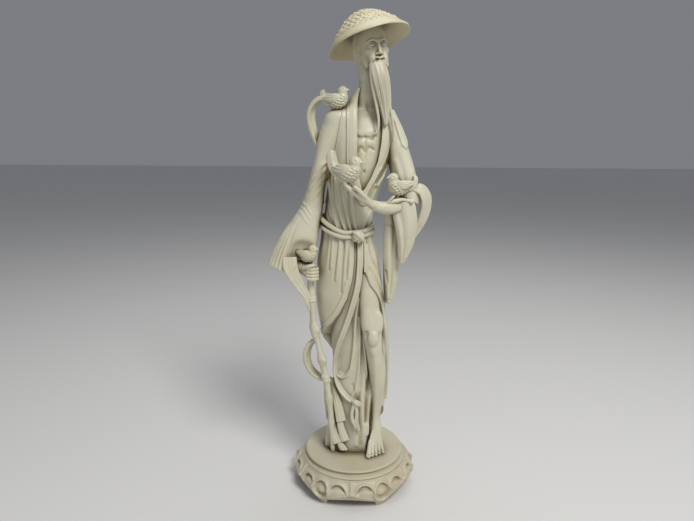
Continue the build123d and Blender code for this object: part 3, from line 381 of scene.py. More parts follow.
def inner_skirt(P):
    d, turn = INNER.field(P)
    z = P[:, 2]
    r = Relief(turn * GIRTH, z)
    m = INNER.marks
    # Hanging U fold, its hollow, and the long folds beside it
    r.ridge(m([(2.2, 180), (-0.1, 152), (-2.5, 123), (-5.1, 110), (-10.5, 104), (-16, 105)]), 1.2, 1.9)
    r.panel(m([(-3, 165), (-1.5, 140), (-4, 114), (-10, 107), (-15.5, 109),
        (-15, 122), (-8, 150)]), -1.2, 1.6)
    r.ridge(m([(4.2, 163), (4.5, 138), (3, 109), (0.4, 93), (-3.1, 85)]), 1.1, 1.7)
    r.ridge(m([(7.2, 165), (5.9, 140), (6.2, 112), (4.5, 92), (2, 80)]), 1.5, -1.2)
    r.panel(m([(4.5, 182), (6.3, 142), (9.4, 114), (12.3, 100), (13.1, 109), (11.4, 128),
        (9.5, 152), (8, 180)]), 2.6, 0.9)
    # Lower panel edge and the rolled fold beside the shin
    r.ridges((
        (m([(6.2, 93), (6.8, 73), (8.6, 54), (10.4, 31)]), 2, 1.3),
        (m([(12.3, 90), (14.2, 75), (13.4, 63), (12, 50)]), 1.9, 1.5),
        (m([(-3, 80), (1, 62), (2, 40)]), 2.2, 1.1),
        (m([(-2, 98), (1.8, 82), (4.4, 60), (6, 40)]), 1.4, -0.9),
    ))
    # Shadowed channels on both sides of the leg
    r.ridge(m([(10.5, 150), (12, 132), (13.2, 108), (12.5, 85), (12, 62)]), 2.4, -3.8)
    r.ridge(m([(26, 146), (26.5, 120), (26, 95), (25.5, 70), (25, 45)]), 2.6, -3.2)
    r.h += back_folds(turn, z)
    side = rise(-turn, 0.9, 1.3) * rise(2.2 + turn, 0, 0.5) * rise(150 - z, 0, 20)
    r.h += side * 0.9 * np.cos(11 * turn + z / 45)
    r.h += rise(62 - z, 0, 28) * rise(np.abs(turn), 0.7, 1.2) * (0.9 * np.cos(5 * turn + 0.8) + 1.2)
    return d - r.h


def over_skirt(P):
    d, turn = SKIRT.field(P)
    z = P[:, 2]
    u = turn * GIRTH
    r = Relief(u, z)
    m = SKIRT.marks
    edge = [(x - 2.4, h - 0.5) for x, h in WRAP_EDGE]
    r.band(m(edge), 2.5, 1, 0.5, 0.7)
    r.band(m([(x + 0.8, h + 1.2) for x, h in THIGH_EDGE]), 1.5, 0.5, 0.7)
    r.ridge(m([(7.4, 214), (13.5, 202), (21, 186)]), 0.8, -0.9)
    r.ridge(m([(8, 222), (15, 207), (23.5, 184), (27, 170)]), 2.4, 0.9)
    gathers = (((-21.5, 233), (-23.5, 206)), ((-15.4, 231), (-19, 196)), ((-10.3, 230), (-13, 186)),
        ((-6, 230), (-8, 198)), ((9.5, 233), (19, 200)), ((12.3, 234), (19.5, 214)))
    for top, low in gathers:
        mid = ((top[0] + low[0]) / 2, (top[1] + low[1]) / 2)
        r.ridge(m([top, mid, low]), 0.8, -1)
        r.ridge(m([(x + 2.2, h + 2) for x, h in (top, mid, low)]), 1.6, 0.6)
    r.h += 0.5 * rise(z, 200, 234) * np.cos(turn * 17 + 1.3 * np.sin(turn * 3))
    r.h += back_folds(turn, z)
    over = np.nonzero((z > 140) & (P[:, 0] > -12))[0]
    d[over] = smin(d[over], chain(P[over], curve(THIGH)) - 1.5, 5)
    hem = [(-37, 142), (-41, 141), (-50, 128), (-64, 102), (-76, 92), (-76, 20), (76, 20),
        (76, 92), (56, 80), (40, 78)]
    rear = [(34, 79), (34, 107), (31, 138)]
    gap = within(u, z, np.vstack([hem + rear, m(THIGH_EDGE[::-1] + WRAP_EDGE)]))
    return smax(d - r.h, gap * 0.9, 0.8)


def lower_robe(P):
    z = P[:, 2]
    d = smin(inner_skirt(P), over_skirt(P), 0.4)
    # Room for the shin and the foot
    rod(d, P, [(20, -19, 96, 6), (20.5, -14.5, 79, 6.6), (20.4, -11.5, 62, 6.8), (20, -11, 48, 7),
        (20, -14, 38, 8.6), (20, -24, 35, 9.5)], 1.5, True)
    rod(d, P, [(22.4, -6, 68, 6.6), (25.4, -4.4, 56, 9.4), (25.6, -2, 44, 10), (25, 1, 36, 10)], 1.5, True)
    d = smax(d, (P - WAIST) @ WAIST_UP, 0.8)
    return smax(d, FLOOR - z, 0.6)


THIGH = [(9, -6, 198, 9.6), (12, -11.5, 171, 9.5), (14.8, -14.4, 151, 8.7)]
CALF = [(17.4, -13.6, 128, 7.2), (20.3, -10, 106, 7.3)]
ANKLE = [(20.6, -6.4, 79, 5.7), (19.5, -5, 62, 4.5), (19.6, -4.6, 50, 4.8),
    (20, -6.6, 42, 5.2), (20, -13, 37.6, 4.6)]
# The leg's skin runs a little way into the foot
LEG_END = FLOOR + 14.2
FOOT_END = FLOOR + 14.6


def shin(P, d):
    rod(d, P, [(16.8, -20.4, 134, 1.4), (18.8, -17.4, 112, 1.2), (19.6, -12.2, 82, 1), (19, -9, 62, 0.8),
        (19.2, -8.8, 50, 0.7), (19.6, -11, 43, 0.5)], 3.5)
    lump(d, P, (15.4, -5.2, 52.5), (1.7, 2.2, 2.4), 2)
    lump(d, P, (23.9, -4.4, 51.5), (1.7, 2.2, 2.4), 2)
    rod(d, P, [(20.1, 0.4, 37, 3.8), (20, -0.6, 45, 3.4), (19.8, -2, 56, 3.2)], 3)
    # Steep instep with a tendon to each toe
    rod(d, P, [(19, -4.6, 58, 4.4), (18.4, -8, 49, 4.4), (17.8, -11, 42, 4.3), (17.6, -13.6, 36, 3.6)], 3)
    rod(d, P, [(20.2, -4.6, 58, 4.4), (21.2, -7.6, 49, 4.4), (22, -10, 41.6, 4.3),
        (22.8, -11.8, 35.8, 3.6)], 3)
    for i in range(5):
        rod(d, P, [(17.8 + i, -9.8 + 0.2 * i, 54.5 - 0.7 * i, 0.8),
            (15 + 2.6 * i, -16.2 + 0.9 * i, 43.4 - 0.8 * i, 1.6)], 1)
    return d


def left_leg(P):
    d = chain(P, curve(THIGH + CALF + ANKLE))
    # Kneecap with the hollows beside it, and the muscles above and behind
    lump(d, P, (9.6, -19.4, 161), (3.6, 3, 9), 4.5)
    lump(d, P, (20.6, -18.2, 160), (3.8, 3.2, 9), 4.5)
    lump(d, P, (23, -6, 112), (5.2, 7, 17), 4)
    lump(d, P, (9.8, -22.2, 145), (2, 1.5, 6.5), 3, True)
    lump(d, P, (21.6, -21.6, 143), (2, 1.3, 6.5), 3, True)
    lump(d, P, (15.8, -22.6, 145.5), (4.7, 3.2, 6.8), 2)
    lump(d, P, (16.4, -21.2, 134.5), (2.6, 1.6, 4), 3)
    return smax(shin(P, d), LEG_END - P[:, 2], 0.1)


def left_foot(P):
    d = shin(P, chain(P, curve(THIGH[-1:] + CALF + ANKLE)))
    lump(d, P, (20.2, -1, 36.4), (5.4, 6, 5.4), 3)
    rod(d, P, [(20.2, -0.5, 35.4, 4.6), (20, -6, 36, 5.4)], 3)
    for i in range(5):
        size = 2.4 if i == 0 else 2.05 - 0.08 * i
        ball = (15 + 2.6 * i, -16.2 + 0.9 * i, 43 - 0.8 * i)
        tip = (13.2 + 3.4 * i, -24.4 + 2 * i, FLOOR + size * 0.85)
        mid = ((ball[0] + tip[0]) / 2, (ball[1] + tip[1]) / 2, 38.4 - 0.45 * i)
        rod(d, P, [ball + (size * 0.85,), mid + (size * 0.86,), tip + (size,)], 0.4)
        nail = (tip[0], tip[1] - size * 0.5, tip[2] + size * 0.82)
        lump(d, P, nail, (size * 0.55, size * 0.6, size * 0.14), 0.3, True)
    for i in range(4):
        h = i + 0.5
        gap = [(15.4 + 2.4 * h, -17.2 + 0.8 * h, 46.4 - 0.8 * h, 0.4),
            (14.7 + 2.8 * h, -19 + 1.1 * h, 42.4 - 0.7 * h, 0.5),
            (13.8 + 3.1 * h, -21.8 + 1.5 * h, 38.4 - 0.5 * h, 0.5),
            (13.2 + 3.4 * h, -24.6 + 2 * h, 34.6, 0.5)]
        rod(d, P, gap, 0.5, True)
    return smax(smax(d, FLOOR - P[:, 2], 0.4), P[:, 2] - FOOT_END, 0.1)


BODY_RELIEF = 0.62
# Heights where the neck, the head and the collar end
NECK_TOP = FLOOR + 334
HEAD_END = FLOOR + 331.1
COLLAR_TOP = 358.6


def body(P):
    d, turn = TORSO.field(P)
    r = Relief(P[:, 0], P[:, 2])
    r.ridges((
        ([(-7, 338), (0, 340.5), (6.5, 341.5)], 1.7, 1.3),
        ([(11, 341.5), (18, 341), (25, 338)], 1.7, 1.3),
        ([(8.8, 344), (8.8, 341)], 1.8, -1.5),
        ([(0.5, 334), (8, 335), (17, 334)], 3, -0.6),
        ([(-2, 319.5), (3, 317.4), (6.6, 318.2), (10, 317.2), (15, 319.2)], 1.5, -1.5),
        ([(-2, 323), (3, 321.5), (10, 321.5), (16, 323)], 3, 0.8),
        ([(6.6, 317), (6.7, 308), (6.6, 300)], 1.3, -0.9),
        ([(0, 307), (3.5, 309.5), (6.7, 306.6), (10, 309.5), (13.5, 308)], 1.4, -1.4),
        ([(1, 313), (4, 313.5)], 2.6, 0.8),
        ([(9.5, 313.5), (13, 313)], 2.6, 0.8),
        ([(6.8, 299), (6.6, 294)], 5, 1.7),
        ([(6.2, 290.4), (6.2, 289.2)], 0.8, -1.6),
    ))
    d = d - BODY_RELIEF * r.h * rise(1.5 - np.abs(turn), 0, 0.4)
    d = smax(d, -(P - WAIST) @ WAIST_UP + 0.2, 0.5)
    return smax(d, P[:, 2] - NECK_TOP, 0.5)


OPEN_LEFT = [(5.4, 372), (4.4, 363), (1.2, 353), (0.2, 346), (0.2, 300), (1.5, 288), (4.5, 274)]
OPEN_RIGHT = [(6.5, 275), (12, 285), (17.5, 298), (20, 312), (21, 326), (19.6, 345),
    (17.4, 354), (15.6, 363), (15, 372)]
LAPEL_RIGHT = [(1.4, 363), (-1.8, 355.5), (-3.8, 347), (-4.2, 338), (-4.1, 324), (-4, 300),
    (-2.2, 287), (2.6, 274), (6, 266)]
LAPEL_LEFT = [(17.8, 362), (21, 353), (23.4, 343), (25, 330), (24.4, 316), (21, 302),
    (15, 290), (8.5, 279), (3.5, 270)]


def upper_robe(P):
    d, turn = CHEST.field(P)
    z = P[:, 2]
    here = at_shoulder(P)
    if len(here):
        Q = P[here]
        joined = smin(d[here], shoulder(Q, SLEEVE_R.field(Q, 2)[0]), SHOULDER_BLEND)
        d[here] = smax(joined, seam(Q) + SEAM_GAP, 0.1)
    facing = rise(1.45 - np.abs(turn), 0, 0.25)
    # Lapels: flat bands with lines along both edges
    x = Relief(P[:, 0], z)
    for line, half in ((LAPEL_LEFT, 4.3), (LAPEL_RIGHT, 4.5)):
        path = vec(line)
        x.band(path, half, 1.5, 0.5)
        for side in (-1, 1):
            x.ridge(path + vec([side * (half - 1.5), 0]), 0.55, -0.45)
    x.ridges((
        ([(24, 342), (31, 328), (34, 315), (32, 303), (26, 291), (18, 279)], 2.2, 1.8),
        ([(28.5, 336), (31.6, 320), (30, 305), (23.5, 292), (16, 280)], 0.9, -1.2),
        ([(20, 292), (13, 279), (8, 268)], 1.3, 1.2),
        ([(23.5, 286), (17, 274), (12, 262)], 1.2, 1),
        ([(-11, 338), (-13, 310), (-13, 285), (-15, 262)], 4, 0.8),
    ))
    d = d - x.h * facing
    r = Relief(turn * GIRTH, z)
    # Gathers that run down to the belt
    folds = (((-23.5, 292), (-22, 268), (-16, 243), 1.2), ((-20.5, 288), (-19, 266), (-12.5, 242), -1),
        ((-18, 286), (-16, 265), (-9.5, 241), 1.2), ((-14.5, 280), (-12, 262), (-6.5, 240), -1.1),
        ((-11.5, 279), (-9, 261), (-4.4, 239.5), 1.3), ((-7.5, 272), (-5.5, 257), (-2, 239), -1.2),
        ((-4, 270), (-2, 256), (0, 238.5), 1.2), ((14.6, 262), (10, 251), (4.6, 239), 1.1),
        ((17, 256), (12.5, 248), (6.6, 239.5), -0.9), ((-26, 286), (-26, 268), (-21, 246), -0.8))
    for top, mid, low, tall in folds:
        r.ridge(CHEST.marks([top, mid, low]), 1.15, tall)
    behind = rise(np.abs(turn), 1.5, 2)
    r.h += behind * rise(330 - z, 0, 30) * 0.9 * np.cos(7 * turn + 0.6 * np.sin(z / 25) + z / 40)
    d = d - r.h
    open_front = within(P[:, 0], z, OPEN_LEFT + OPEN_RIGHT)
    d = smax(d, -np.maximum(-open_front, P[:, 1] + 1), 0.5)
    inner = TORSO.field(P)[0] + 0.15
    d = smax(d, -inner, 0.3)
    d = smax(d, z - COLLAR_TOP, 1.4)
    return smax(d, -(P - WAIST) @ WAIST_UP, 0.6)


BELT_WIDE = 22.4
BELT_DEEP = 15.8
RING_STEPS = 48


def belt(P):
    # Two cords that hang from the hips to the knot
    d = np.full(len(P), FAR, np.float32)
    for lift, swell, tube in ((1.9, 0.2, 2.1), (-2.1, 0.7, 2.2)):
        ring = []
        for i in range(RING_STEPS + 1):
            a = 2 * math.pi * i / RING_STEPS
            x = math.cos(a)
            slack = 9.5 * max(0, -x - 0.1) ** 1.3 + 4.2 * max(0, x - 0.55)
            across = np.array([x * (BELT_WIDE + swell), 0, 0])
            back = WAIST_BACK * (math.sin(a) * (BELT_DEEP + swell))
            ring.append(WAIST + across + back + WAIST_UP * (lift + slack * (1.1 if lift > 0 else 0.8)))
        path = np.column_stack([np.array(ring), np.full(len(ring), tube)]).astype(np.float32)
        d = smin(d, chain(P, path), 0.6)
    return d


KNOT_AT = (2, -17.2, 235.6)
KNOT_LUMPS = 26


def belt_knot(P):
    d = blob(P, KNOT_AT, (5.2, 4.6, 5.2))
    rng = np.random.default_rng(5)
    for _ in range(KNOT_LUMPS):
        way = rng.normal(size=3)
        way = way / np.linalg.norm(way) * np.array([4.9, 4.3, 4.9])
        lump(d, P, np.array(KNOT_AT) + way, (1.35, 1.35, 1.35), 0.6)
    rod(d, P, [(-2, -19, 239.5, 1.6), (2, -21.8, 237, 1.9), (5.5, -19.5, 233, 1.6)], 0.6)
    return d


# Cords and scarf ends
def strip(trunk, points, off, half, thin):
    path = trunk.front(points, off)
    rows = np.column_stack([path, np.full(len(path), half), np.full(len(path), thin)])
    return Limb(rows, (1, 0, 0), 1)


SASH_STRIP = strip(INNER, SASH, 1.2, 2.7, 1.7)
SHORT_STRIP = strip(SKIRT, [(8.6, 228), (9.2, 217.5), (9, 204)], 0.6, 2.1, 1.2)


def long_cord(P):
    d, _, u = SASH_STRIP.slab(P, 1)
    return d + 0.55 * bell(np.abs(u - 0.4) - 0.7, 0.4)


def short_cord(P):
    d, _, u = SHORT_STRIP.slab(P, 0.8)
    return d + 0.3 * bell(u, 0.45)


def cord_bow(P):
    y = -19.2
    d = blob(P, (1, y, 83.4), (3.2, 2.8, 3.2))
    rod(d, P, [(-2.2, y - 0.3, 85.8, 1.1), (1, y - 2.8, 84.6, 1.3), (3.8, y - 0.8, 81.2, 1.1)], 0.5)
    rod(d, P, [(3.4, y, 84.6, 1.1), (5.6, y + 0.3, 82.4, 0.9), (4, y - 0.3, 80.4, 0.8)], 0.5)
    rod(d, P, [(1.4, y, 80.6, 1.4), (2.2, y - 1, 73, 1.7), (1.8, y - 0.8, 66, 1.8), (3.4, y + 0.2, 59, 1.7),
        (4.2, y + 0.6, 54.5, 0.8)], 0.5)
    rod(d, P, [(-0.8, y, 81, 1.4), (-2.2, y - 0.5, 74.5, 1.6), (-2, y - 0.6, 68, 1.7),
        (0.4, y - 0.2, 61.5, 1.6), (1, y + 0.2, 58, 1)], 0.5)
    rod(d, P, [(2.1, y - 2.5, 73, 0.4), (1.8, y - 2.5, 66, 0.45), (3.3, y - 1.4, 59, 0.4)], 0.6, True)
    return d


def scarf_ends(P):
    d = np.full(len(P), FAR, np.float32)
    folds = (((-25.2, 102), (-24.8, 88), (-23.4, 75), (-21.2, 62.5), 4.4, 2.2, 3.4),
        ((-21, 100), (-18, 88), (-14.4, 76), (-11.8, 63.5), 4.4, 2.2, 2.8),
        ((-20.8, 67), (-19.6, 58), (-17.4, 49.5), (-14.4, 42), 4.6, 2.2, 3.2),
        ((-13.4, 68), (-12.4, 59), (-10.2, 51), (-7.8, 44.5), 3.8, 2.1, 2.2),
        ((-15.4, 50), (-13.4, 43), (-10.8, 37.5), (-8.6, 34), 3.4, 2.2, 2))
    for a, b, c, e, wide, thin, off in folds:
        path = INNER.front([a, b, c, e], off)
        grow = np.linspace(0.75, 1.1, len(path))
        rows = np.column_stack([path, wide * grow, np.full(len(path), thin)])
        u, v, half, thick, along, _ = Limb(rows, (1, 0, 0), 1).locate(P)
        cloth = smax(oval(u, v, half, thick), along - END_OVER, 1.2)
        share = u / half
        cloth = cloth + 0.5 * bell(share - 0.1, 0.16) + 0.3 * bell(share + 0.5, 0.14)
        d = smin(d, cloth, 0.7)
    return smax(d, FLOOR - P[:, 2], 0.3)


# Head in its own frame: x to the face's left, y back, z up
HEAD_AT = vec([12.8, -4.4, 388.2])
HEAD_TURN = turned(4, -7, 16)


def head(P):
    Q = (P - HEAD_AT) @ HEAD_TURN
    d = blob(Q, (0, 1.5, 4.5), (12, 13.4, 16.6))
    d = smin(d, blob(Q, (0, -2.6, -3.5), (10.4, 10.4, 14.5)), 4)
    d = smin(d, blob(Q, (0, -4.6, -13), (7, 7.4, 6.5)), 4)
    for side in (-1, 1):
        M = Q * vec([side, 1, 1])
        lump(d, M, (6.6, -8.2, -1.8), (3.4, 3.2, 3), 2.6)
        lump(d, M, (4.9, -13.2, 2.6), (3.2, 2.2, 1.9), 2.2, True)
        lump(d, M, (4.8, -10.8, 2.3), (2.8, 2.2, 1.9), 1)
        rod(d, M, [(2.4, -12.4, 1.7, 0.25), (4.8, -13, 1, 0.28), (7.1, -11.4, 1.5, 0.22)], 0.6, True)
        rod(d, M, [(1.9, -12.8, 5.6, 0.7), (4.8, -12.6, 6.6, 0.8), (8.2, -9.8, 5.2, 0.5)], 2.2)
        lump(d, M, (1.8, -14.3, -4.2), (1.4, 1.4, 1.2), 0.9)
        lump(d, M, (5.2, -11.4, -7.6), (2.6, 2.6, 4.2), 2.6)
        lump(d, M, (11.9, 2.5, -0.5), (1.6, 3, 5.2), 1, turn=turned(10, 0, 18))
        lump(d, M, (13.5, 1.2, 0.4), (1, 1.4, 2.8), 1.2, True)
        lump(d, M, (11.5, 1.2, -6.4), (1.4, 1.7, 2.6), 1)
        rod(d, M, [(0.8, -14.8, -6.4, 0.5), (2.8, -14.2, -6.8, 0.7), (5.2, -12.6, -8.6, 0.8),
            (6.2, -11.6, -12.6, 0.8)], 0.9)
        rod(d, M, [(8, -5.5, -12.5, 2.4), (9.4, -1.5, -5, 2.2)], 2)
    rod(d, Q, [(0, -13.2, 5.6, 1.2), (0, -15, 0.5, 1.2), (0, -16.4, -3.2, 1.45)], 1.6)
    lump(d, Q, (0, -16.2, -3.8), (1.6, 1.5, 1.2), 0.9)
    rod(d, Q, [(-2.6, -13.6, -8.5, 0.2), (0, -14.8, -8.8, 0.2), (2.6, -13.6, -8.5, 0.2)], 0.5, True)
    lump(d, Q, (0, -14, -9.9), (2.4, 1.5, 0.9), 0.8)
    lump(d, Q, (0, -14.2, -7.6), (2.6, 1.3, 0.8), 0.8)
    rod(d, Q, [(-5, -11.6, 9.4, 0.25), (0, -13, 9.6, 0.28), (5, -11.6, 9.4, 0.25)], 0.8, True)
    lump(d, Q, (0, -12.6, -12.2), (5.6, 3.4, 3.2), 1.5)
    # Hair drawn back from the temples to the nape
    hair = blob(Q, (0, 5.5, -6), (11.6, 9, 15.5))
    strand = np.arctan2(Q[:, 0], Q[:, 1] - 2)
    hair = hair - 0.28 * np.cos(26 * strand + 0.12 * Q[:, 2])
    d = smin(d, hair, 1.4)
    bun = chain(P, curve([(6.4, 1.5, 399, 10), (6.2, 1.2, 390, 10.4), (7.2, 0.8, 380, 8.8),
        (9, 0, 371, 7.4), (10, -0.5, 363, 7.6)]))
    strand = np.cos(22 * np.arctan2(P[:, 0] - 8, P[:, 1]) + 0.35 * P[:, 2])
    bun = bun - 0.3 * strand * rise(P[:, 2], 370, 380)
    d = smin(d, smax(bun, -9 - P[:, 1], 1.5), 2)
    neck = chain(P, vec([(10, -1, 360, 8.5), (11.4, -1.6, 376, 8.6)]))
    d = smin(d, neck, 3)
    return smax(d, HEAD_END - P[:, 2], 0.3)


BEARD = Limb([(15.4, -16.4, 376, 6.8, 3.8), (17.8, -17.8, 365, 7.6, 4.8), (20.4, -17.2, 353, 6.8, 4.4),
    (22.4, -16, 342, 5, 3.4), (23.2, -15.4, 334, 3, 2.4), (23.4, -15.2, 328, 1.3, 1.2)], (1, 0.2, 0))


def beard(P):
    d, s, turn = BEARD.field(P, 1.2)
    d = d - 0.22 * np.cos(9 * turn + 0.05 * s + 0.5 * np.sin(s / 11)) * rise(s, 0, 8)
    d = d - 0.10 * np.cos(25 * turn + 0.7 * np.sin(s / 9))
    rod(d, P, [(11, -17.8, 378, 1), (10.4, -19, 369, 1.2), (12.2, -19, 357, 1.35), (15, -18, 345, 1.3),
        (17.2, -17.2, 334, 1.15), (17.4, -16.8, 326, 1), (15.6, -16.6, 321.6, 0.9),
        (13.4, -16.6, 320.6, 0.7)], 0.6)
    rod(d, P, [(19.4, -17.8, 377, 0.9), (23, -18.6, 366, 1.1), (25.2, -17, 353, 1.25),
        (26.6, -16.2, 342, 1.2), (29, -15, 331, 1.1), (30.6, -14.2, 320, 1), (30.2, -14, 311, 0.7)], 0.6)
    return d


# Hat in its own frame: z along the crown
HAT_AT = vec([9, -5, FLOOR + 363.1])
HAT_TURN = vec(about("X", -7) @ about("Y", -17.5))
WEAVE_ROW = 2.3
CROWN_EDGE = 29.4
BRIM_EDGE = 34.8
# Turns a height above the slope into a distance from it
HAT_SLOPE = 0.72
HAT_OUT = curve([(0, 23), (5, 22.6), (10, 21), (15, 18.2), (20, 14.2), (25, 9.5), (30, 4.6),
    (34.2, 0.7), (36, -1.4)], 4)
HAT_IN = curve([(0, 14.4), (8, 14), (16, 11.9), (21, 9.2), (26, 6.2), (31, 1.6),
    (33.8, -1.2), (36, -3.4)], 4)


def hat(P):
    Q = (P - HAT_AT) @ HAT_TURN
    r = np.hypot(Q[:, 0], Q[:, 1])
    a = np.arctan2(Q[:, 0], -Q[:, 1])
    top = np.interp(r, HAT_OUT[:, 0], HAT_OUT[:, 1])
    under = np.interp(r, HAT_IN[:, 0], HAT_IN[:, 1])
    rows = r / WEAVE_ROW
    row = np.floor(rows)
    across = a * np.maximum(np.round(row * 2.9 + 4), 6) / 2 + row * 1.9
    weave = np.cos(across * 2) * np.cos((rows - row - 0.5) * math.pi)
    clump = wobble(Q, 4.2, 11) * 0.35 + wobble(Q, 2.4, 12) * 0.25
    crown = rise(CROWN_EDGE - r, 0, 1.4)
    crust = crown * (0.55 * weave + 1.5 * clump + 0.5)
    d = (Q[:, 2] - top - crust) * HAT_SLOPE
    ribs = 0.10 * np.cos(70 * a) * rise(r, 8, 14) * rise(32.5 - r, 0, 2)
    d = smax(d, (under + ribs - Q[:, 2]) * HAT_SLOPE, 0.5)
    return smax(d, r - BRIM_EDGE - 0.25 * np.cos(7 * a), 0.8)


# Arms
SLEEVE_R = Limb([(-6, 2, 333.5, 10.6, 9.4), (-17, 2, 330.5, 10.7, 10.2), (-25, 1.2, 315.5, 10.7, 8.4),
    (-29.5, 0, 299.5, 10.7, 6.9), (-34.5, -1.5, 277.5, 10.7, 7.4), (-38.5, -3, 258.5, 10.7, 9.7),
    (-44.2, -5, 242.5, 10.7, 12.9), (-50, -8, 226.5, 10.5, 16.2), (-54.8, -9.5, 212.5, 10, 18),
    (-58.6, -11, 200.5, 9.5, 18.4)], (0, 1, 0), 4)
# Slanting plane where the right sleeve parts from the robe
SEAM_X = -11
SEAM_SLOPE = 0.2
SEAM_TOP = 345
SEAM_GAP = 0.03
SHOULDER_LOW = 262
SHOULDER_BLEND = 4.5


def seam(P):
    return SEAM_X - SEAM_SLOPE * (SEAM_TOP - P[:, 2]) - P[:, 0]


def at_shoulder(P):
    return np.nonzero((P[:, 0] < 0) & (P[:, 2] > SHOULDER_LOW))[0]


def shoulder(P, d):
    # Flat shoulder that runs on into the chest
    lump(d, P, (-17, -2.2, 333.8), (9.6, 7.4, 6.6), 4)
    return rod(d, P, [(-15, -2.6, 334, 6.4), (-18.5, -3, 321, 6.6), (-22, -3, 306, 6)], 6)


# Slanting plane that ends the cuff, and the niche for the lowest bird
CUFF_LOW = FLOOR + 175
CUFF_OUTER = -67
CUFF_SLOPE = 0.42
NICHE = vec([-41.6, -15, 220])
NICHE_REACH = 16


def right_sleeve(P):
    d, s, turn = SLEEVE_R.field(P, 2)
    long = SLEEVE_R.s[-1]
    r = Relief(turn * 14, s)

    def stroke(points, width, height):
        r.ridge([(t, share * long) for t, share in points], width, height)

    # Pleats that fan out to the cuff, on the outer side
    for t in (0.22, -0.06, -0.32, -0.57, -0.80, -1.02):
        stroke([(t * 8 - 4, 0.66), (t * 12 - 1, 0.82), (t * 15, 1)], 1.3, 1.5)
        stroke([(t * 9 - 4.5, 0.7), (t * 12.5 - 2.8, 0.86), (t * 15 - 1.9, 1)], 0.8, -1)
    r.h *= rise(s, 0.64 * long, 0.80 * long)
    # Slanting folds at the elbow
    for i in range(4):
        top = 0.30 + 0.055 * i
        stroke([(-34 + i, top), (-24, top + 0.05), (-12, top + 0.12)], 2.3, 0.8)
        stroke([(-33 + i, top + 0.028), (-23, top + 0.078), (-12, top + 0.148)], 1.2, -0.45)
    for i in range(3):
        level = 0.57 + 0.03 * i
        stroke([(-6, level), (-14, level + 0.01), (-24, level + 0.05)], 0.9, 0.45)
    behind = rise(turn, 0.5, 1)
    r.h += behind * rise(s, 0.45 * long, 0.7 * long) * 0.8 * np.cos(turn * 9)
    d = d - r.h
    here = at_shoulder(P)
    if len(here):
        Q = P[here]
        d[here] = smin(shoulder(Q, d[here]), CHEST.field(Q)[0], SHOULDER_BLEND)
    d = smax(d, CUFF_LOW - P[:, 2] - CUFF_SLOPE * (P[:, 0] - CUFF_OUTER), 0.8)
    rod(d, P, [(-47, -9.5, 210, 4.5), (-49, -11.5, 206, 7), (-50, -12, 200, 9)], 1.2, True)
    rod(d, P, [(-44, -17, 216, 4), (-46, -17, 204, 7)], 1.5, True)
    rod(d, P, [(-36, -19.5, 224, 4.6), (-43, -20, 226, 5.6), (-50, -20, 225, 5.6),
        (-53, -19, 218, 5.4)], 5, True)
    here = np.nonzero(np.abs(P - NICHE).max(1) < NICHE_REACH)[0]
    if len(here):
        d[here] = smax(d[here], 0.3 - sleeve_bird(P[here]), 0.3)
    return smax(d, SEAM_GAP - seam(P), 0.1)


CUFF = Limb([(-57, -16.5, 217, 6, 1.6), (-56.4, -18.5, 209, 6.4, 1.6), (-53.2, -18.4, 201, 5.6, 1.6),
    (-48.2, -16.6, 192, 4.6, 1.5), (-43.6, -14.4, 183, 3.6, 1.5), (-41, -12.6, 174, 2.6, 1.4),
    (-40.2, -11.4, 168, 1.8, 1.3)], (0.8, 0.3, 0.45))


def cuff_fall(P):
    d, _, u = CUFF.slab(P, 0.8)
    return d + 0.3 * bell(u - 1, 0.6) + 0.3 * bell(u + 1.8, 0.6)


def right_hand(P):
    d = chain(P, curve([(-52, -9.5, 209, 5), (-46, -11.5, 207, 5.6), (-41, -13, 205.5, 5.4)]))
    d = smin(d, blob(P, (-40, -13.5, 203.5), (6.4, 6, 5.2)), 2)
    for i in range(4):
        drop = 207.2 - 2.9 * i
        rod(d, P, [(-41.5, -19, drop, 1.5), (-36.6, -19.6, drop - 0.3, 1.55), (-33.4, -16, drop - 0.4, 1.5),
            (-34, -12, drop - 0.2, 1.3)], 0.5)
    rod(d, P, [(-45, -18, 208, 1.8), (-40, -20.4, 210, 1.7), (-36, -19.5, 210.6, 1.4)], 0.7)
    return d


SLEEVE_L = Limb([(22, 2, 336, 11, 9.5), (30, 1, 320, 11.6, 9.6), (36, -0.5, 303, 12, 10),
    (40.5, -3, 286, 12, 10.6), (42.6, -6.5, 270, 11.8, 10.8), (42.6, -9.5, 262, 10.5, 10.4)], (0, 1, 0))


def left_sleeve(P):
    d, s, turn = SLEEVE_L.field(P, 3)
    long = SLEEVE_L.s[-1]
    x = Relief(P[:, 0], P[:, 2])
    # Mantle fold from the shoulder, then slack folds down to the elbow
    x.panel([(10, 350), (46, 350), (44.5, 322), (43.5, 311), (41, 308.5), (37.6, 312), (34.6, 320),
        (31.5, 330), (27, 340)], 1.5, 0.8)
    x.ridges((
        ([(38, 312), (43, 300), (46.5, 286)], 2.6, 0.6),
        ([(34.5, 304), (38, 294), (41, 282)], 1.6, -0.45),
        ([(32, 299), (35, 289), (38, 280)], 1.8, 0.7),
        ([(47.5, 290), (49.5, 276), (48, 264)], 1.8, 0.6),
    ))
    d = d - x.h * rise(-P[:, 1], -6, 2)
    d = d - 0.35 * np.cos(turn * 6 + s / long * 9) * rise(P[:, 1], -4, 3)
    rod(d, P, [(38, -18, 262, 7.2), (32, -22, 261, 7.2)], 1, True)
    return smax(d, -(CHEST.field(P)[0] + 0.05), 0.15)


HAND_RUN = np.array([-0.76, 0, 0.65])
PALM_UP = np.array([0.65, 0, 0.76])


